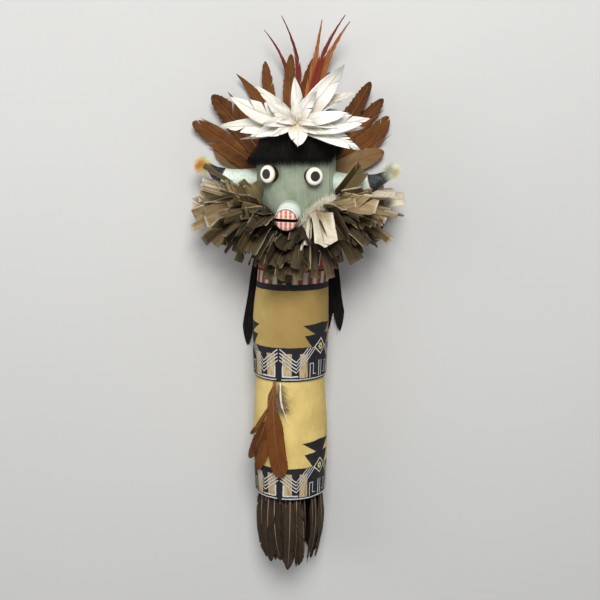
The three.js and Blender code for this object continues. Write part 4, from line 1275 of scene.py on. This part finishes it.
def growHair(name, ground, finish, sizes):
    # strands from the ground's faces, along its "growth" value; the ground itself goes
    hair = ground.build(name)
    grower = hair.modifiers.new("strands", "NODES")
    grower.node_group = growStrands
    for item in growStrands.interface.items_tree:
        if item.in_out == "INPUT" and item.name in sizes:
            grower[item.identifier] = sizes[item.name]
        if item.in_out == "INPUT" and item.name == "Finish":
            grower[item.identifier] = finish
    flatten(hair)
    return hair


def joined(name, slot, node, *objects):
    # several closed meshes become one piece
    bpy.ops.object.select_all(action="DESELECT")
    for o in objects:
        o.select_set(True)
    made = objects[0]
    bpy.context.view_layer.objects.active = made
    bpy.ops.object.join()
    made.name = name
    settle(made, slot, node)
    print(node, "triangles", sum(len(p.vertices) - 2 for p in made.data.polygons))


def hairFinish():
    paint = Paint("blackHair")
    streak = paint.noise(900, stretch=(1, 0.2, 1))
    colour = paint.blend(streak.step(0.4, 0.75), (0.0025, 0.0018, 0.0012), (0.010, 0.0075, 0.0055))
    return paint.finish(colour, 0.9 - streak * 0.3)


def downFinish(name, inner, middle, outer):
    paint = Paint(name, 0.85)
    return paint.finish(paint.ramp(paint.noise(130), [(0.36, inner), (0.5, middle), (0.62, outer)]))


coats = {
    "hair": hairFinish(),
    "left": downFinish("orangeDown", (0.95, 0.36, 0.06), (0.92, 0.68, 0.22), (0.72, 0.80, 0.45)),
    "right": downFinish("paleDown", (0.85, 0.80, 0.42), (0.90, 0.90, 0.76), (0.60, 0.68, 0.58)),
    "pale": downFinish("paleRoots", (0.96, 0.92, 0.78), (0.93, 0.87, 0.70), (0.97, 0.95, 0.87)),
    "dark": downFinish("darkRoots", (0.05, 0.034, 0.02), (0.10, 0.075, 0.045), (0.17, 0.13, 0.085)),
    "grey": downFinish("greyDown", (0.16, 0.105, 0.06), (0.30, 0.215, 0.14), (0.10, 0.06, 0.035)),
}
fringe = {
    "drop": 36, "thickness": 5.5, "sides": 96, "lean": 0.62, "lift": 8, "liftFrom": 0.72, "backFlat": 10.5,
    "backReach": 10.45, "hemTurn": 85, "hemSteps": 80,
    "fur": {"Count per area": 800000.0, "Length": 0.0085, "Thickness": 0.012, "Droop": 0.16, "Spread": 0.36,
            "Seed": 3},
    "hem": {"Count per area": 2600000.0, "Length": 0.006, "Thickness": 0.02, "Droop": 0.1, "Spread": 0.22,
            "Seed": 8},
}


def makeFringe():
    inner, outer = layout["headRadius"] + layout["fitGap"], layout["headRadius"] + fringe["thickness"] - 1.0
    low, top = crown - fringe["drop"], crown + layout["fitGap"]
    section = [(inner, low), (outer - 1.2, low + 0.3), (outer, low + 2.4), (outer, top - 20), (outer, top - 8),
               (outer - 1.2, top - 4), (outer - 3, top - 1), (outer - 9, top + 3.3), (0.4 * outer, top + 4.4),
               (2, top + 4.6), (2, top), (inner - 6, top), (inner, top)]
    # radius, height and how far down the hair hangs there
    combed = [(outer, low + 0.6, 1.0), (outer, low + 4, 1.0), (outer, low + 14, 0.95), (outer, top - 6, 0.8),
              (outer - 3, top - 1, 0.6), (outer - 9, top + 3, 0.15), (0.4 * outer, top + 4.2, -0.1)]
    limit = 180 - math.degrees(math.acos((headAxis - fringe["backFlat"]) / outer))
    shape, ground, hem = Shape(), Shape(), Shape()

    def furReach(r, h, side):
        # thick at the lower left and the upper right, thin at the other two corners
        lean = fringe["lean"] * (2 * (h - low) / (top - low) - 1) * side
        return inner + (r - inner) * (1 + lean) if r > inner and h < top - 0.5 else r

    def hemLift(side):
        return fringe["lift"] * smooth(fringe["liftFrom"], 1.0, side)
    rows, hairRows, hemRows = [], [], []
    for turn in sweep(limit, fringe["sides"]):
        x, z = math.sin(turn), math.cos(turn)
        row, hairRow = [], []
        for r, h in section:
            r = furReach(r, h, x)
            reach = min(r, (headAxis - fringe["backReach"]) / max(1e-6, -z)) if z < -0.01 else r
            h = h + hemLift(x) * (h < low + 4)
            row.append(shape.add((layout["headLean"] + narrowed(reach * x, h), h, headAxis + reach * z)))
        for r, h, down in combed:
            r = furReach(r, h, x)
            away = 0.30 if down > 0.5 else 0.9
            h = h + hemLift(x) * (h < low + 5)
            hairRow.append(ground.add((layout["headLean"] + narrowed(r * x, h), h, headAxis + r * z),
                                      growth=(away * x, -down, away * z)))
        rows.append(row)
        hairRows.append(hairRow)
    for turn in sweep(fringe["hemTurn"], fringe["hemSteps"]):
        x, z = math.sin(turn), math.cos(turn)
        hemRow = []
        for r, up in ((inner + 0.4, 0.8), (outer - 0.6, 1.4), (outer, 3)):
            r = furReach(r, low + 1, x)
            hemRow.append(hem.add((layout["headLean"] + r * x, low + up + hemLift(x), headAxis + r * z),
                                  growth=(0.12 * x, -1, 0.12 * z)))
        hemRows.append(hemRow)
    shape.grid(rows, closed=True)
    shape.face(*rows[0])
    shape.face(*rows[-1][::-1])
    ground.grid(hairRows)
    hem.grid(hemRows)
    joined("fur_fringe", "black_hair", "hair_fringe", shape.build("furCap", coats["hair"]),
           growHair("fur", ground, coats["hair"], fringe["fur"]),
           growHair("furHem", hem, coats["hair"], fringe["hem"]))


makeFringe()

backHair = {
    "top": crown - 12, "length": 190, "root": 40, "tip": 90, "locks": 9, "columns": 90, "rows": 60, "bareRows": 7,
    # the sheet's back, and the lowest and highest that a loose strand lies
    "under": 0.25, "looseLow": 0.0003, "looseHigh": 0.0022,
    "loose": {"Count per area": 330000.0, "Length": 0.026, "Thickness": 0.006, "Droop": 0.03, "Spread": 0.05,
              "Seed": 5},
}


def rim(rows):
    # a grid's edge, once round
    return (rows[0][:-1] + [row[-1] for row in rows[:-1]] + rows[-1][:0:-1] + [row[0] for row in rows[:0:-1]])


def makeBackHair():
    # a thin combed sheet of locks, with loose strands over it
    shape, ground = Shape(), Shape()
    front, back, hairRows = [], [], []
    for i in range(backHair["rows"] + 1):
        share = i / backHair["rows"]
        frontRow, backRow, hairRow = [], [], []
        for j in range(backHair["columns"] + 1):
            u = j / backHair["columns"]
            lock = (u * backHair["locks"]) % 1
            index = min(backHair["locks"] - 1, int(u * backHair["locks"]))
            end = 0.955 + 0.045 * math.cos(2.1 * index) - 0.09 * abs(2 * lock - 1) ** 1.6
            down = share * end
            short = down - 0.035 * share ** 3
            wave = 0.6 * math.sin(share * 17 + index) + 0.3 * noise.noise(Vector((u * 20, share * 5, 1)))
            width = mix(backHair["root"], backHair["tip"], smooth(0, 1, min(1, down)))
            x = mix(layout["headLean"], 0.6 * layout["headLean"], down) + (u - 0.5) * width + wave * share
            h = backHair["top"] - short * backHair["length"]
            low = backHair["top"] - down * backHair["length"]
            ridge = 0.35 + 0.35 * abs(noise.noise(Vector((u * 60, share * 3, 5)))) * 2
            frontRow.append(shape.add((x, h, 1.2 + ridge)))
            backRow.append(shape.add((x, h, backHair["under"])))
            hairRow.append(ground.add((x, low, 1.35), growth=(0.05 * math.sin(index * 3 + share * 9), -1, 0.0)))
        front.append(frontRow)
        back.append(backRow)
        hairRows.append(hairRow)
    shape.grid(front)
    shape.grid([row[::-1] for row in back])
    edge, under = rim(front), rim(back)
    for j in range(len(edge)):
        k = (j + 1) % len(edge)
        shape.face(edge[j], edge[k], under[k], under[j])
    sheet = shape.build("combed", coats["hair"])
    # none grow from the last rows, so that they end with the sheet
    ground.grid(hairRows[:-backHair["bareRows"]])
    loose = growHair("loose", ground, coats["hair"], backHair["loose"])
    for v in loose.data.vertices:
        v.co.z = min(backHair["looseHigh"], max(backHair["looseLow"], v.co.z))
    joined("long_hair", "black_hair", "hair_back", sheet, loose)


makeBackHair()

plume = {
    "size": 8, "shape": (1.1, 0.85, 0.7), "away": {-1: (-2.6, -2.4, 0), 1: (2.0, -0.6, 0)},
    "rings": 8, "sides": 16, "ground": 0.25, "core": 0.28,
    "down": {"Count per area": 60000000.0, "Length": 0.0072, "Thickness": 0.011, "Droop": 0.4, "Spread": 0.55,
             "Seed": 11},
}


def makePlumes():
    for side, name in sides:
        middle = curvePoint(hornPoints(side), 1) + Vector(plume["away"][side])
        ground, core = Shape(), Shape()
        for shape, scale in ((ground, plume["ground"]), (core, plume["core"])):
            rows = []
            for i in range(1, plume["rings"]):
                lat = math.pi * i / plume["rings"]
                row = []
                for lon in circle(plume["sides"]):
                    d = Vector((math.sin(lat) * math.cos(lon), math.cos(lat), -math.sin(lat) * math.sin(lon)))
                    p = middle + Vector(d[k] * plume["shape"][k] * plume["size"] * scale for k in range(3))
                    aim = headPlace.to_3x3() @ Vector(d[k] * plume["shape"][k] for k in range(3))
                    row.append(shape.add(headPlace @ p, growth=tuple(aim)))
                rows.append(row)
            shape.grid(rows, closed=True)
            for row, pole, flip in ((rows[0], 1, True), (rows[-1], -1, False)):
                p = middle + Vector((0, pole * plume["shape"][1] * plume["size"] * scale, 0))
                shape.fan(row, shape.add(headPlace @ p, growth=(0, pole, 0)), flip=flip)
        joined("down_plume_" + name, "dyed_down", "horn_plume_" + name, core.build("plumeCore", coats[name]),
               growHair("plumeDown", ground, coats[name], plume["down"]))


makePlumes()

rootDown = {
    # pale down over the quills on the right, dark down on the left: first and last turn, length, count
    "pale": (4, 60, 0.0074, 3100000.0), "dark": (-16, -58, 0.0042, 1300000.0),
    "strands": {"Thickness": 0.024, "Droop": 0.3, "Spread": 0.6, "Seed": 21},
    # across the cord: outwards, up, and how much the down points up
    "section": ((-0.6, 3.0, 1), (2.4, 2.4, 0.9), (4.4, -1.0, -0.2)), "steps": 40,
}
hangingDown = {
    # root x and tip x
    "lines": ((-11, -10), (-8.5, -5.5), (-6.5, -2)), "length": 22, "above": 0.7, "steps": 6,
    "strands": {"Count per area": 3200000.0, "Length": 0.0085, "Thickness": 0.009, "Droop": 0.3, "Spread": 0.4,
                "Seed": 4},
}


def makeRuffDown():
    tufts = []
    for coat in ("pale", "dark"):
        first, last, size, count = rootDown[coat]
        side = 1 if first > 0 else -1
        ground = Shape()
        rows = []
        for i in range(rootDown["steps"] + 1):
            turn = mix(first, last, i / rootDown["steps"])
            at = ruffPoint(turn)
            x, z = math.sin(turn * degrees), math.cos(turn * degrees)
            rows.append([ground.add(at + Vector((x * away, up, z * away)),
                                    growth=(0.15 * x - 0.3 * side, 0.6 * lift, 0.7 * z))
                         for away, up, lift in rootDown["section"]])
        ground.grid(rows[::side])
        tufts.append(growHair("rootDown", ground, coats[coat],
                              {**rootDown["strands"], "Length": size, "Count per area": count}))
    joined("feather_ruff", "ruff_feather", "ruff", ruffFeathers, *tufts)


def makeHangingDown():
    ground = Shape()
    spines = [hangingSpine(rootX, tipX, 0, 1, hangingDown["length"], hangingDown["above"])
              for rootX, tipX in hangingDown["lines"]]
    steps = hangingDown["steps"]
    rows = [[ground.add(spine(t / steps), growth=((j - 0.4) * 0.4, -0.85, 0.22)) for j, spine in enumerate(spines)]
            for t in range(steps + 1)]
    ground.grid(rows[::-1])
    joined("russet_feather_1", "rust_feather", "hanging_feather_1", mainHanging,
           growHair("hangingDown", ground, coats["grey"], hangingDown["strands"]))


makeRuffDown()
makeHangingDown()
print("hair and down grown")


# the pale floor, and the end
def makeFloor():
    paint = Paint("paleFloor", 0.9)
    paint.finish(paint.blend(paint.noise(3, 2), (0.50, 0.495, 0.48), (0.54, 0.535, 0.52)))
    mesh = bpy.data.meshes.new("floor")
    mesh.from_pydata([(-4, -4, 0), (4, -4, 0), (4, 4, 0), (-4, 4, 0)], [], [(0, 1, 2, 3)])
    mesh.materials.append(paint.material)
    floor = bpy.data.objects.new("floor", mesh)
    scene.collection.objects.link(floor)


makeFloor()
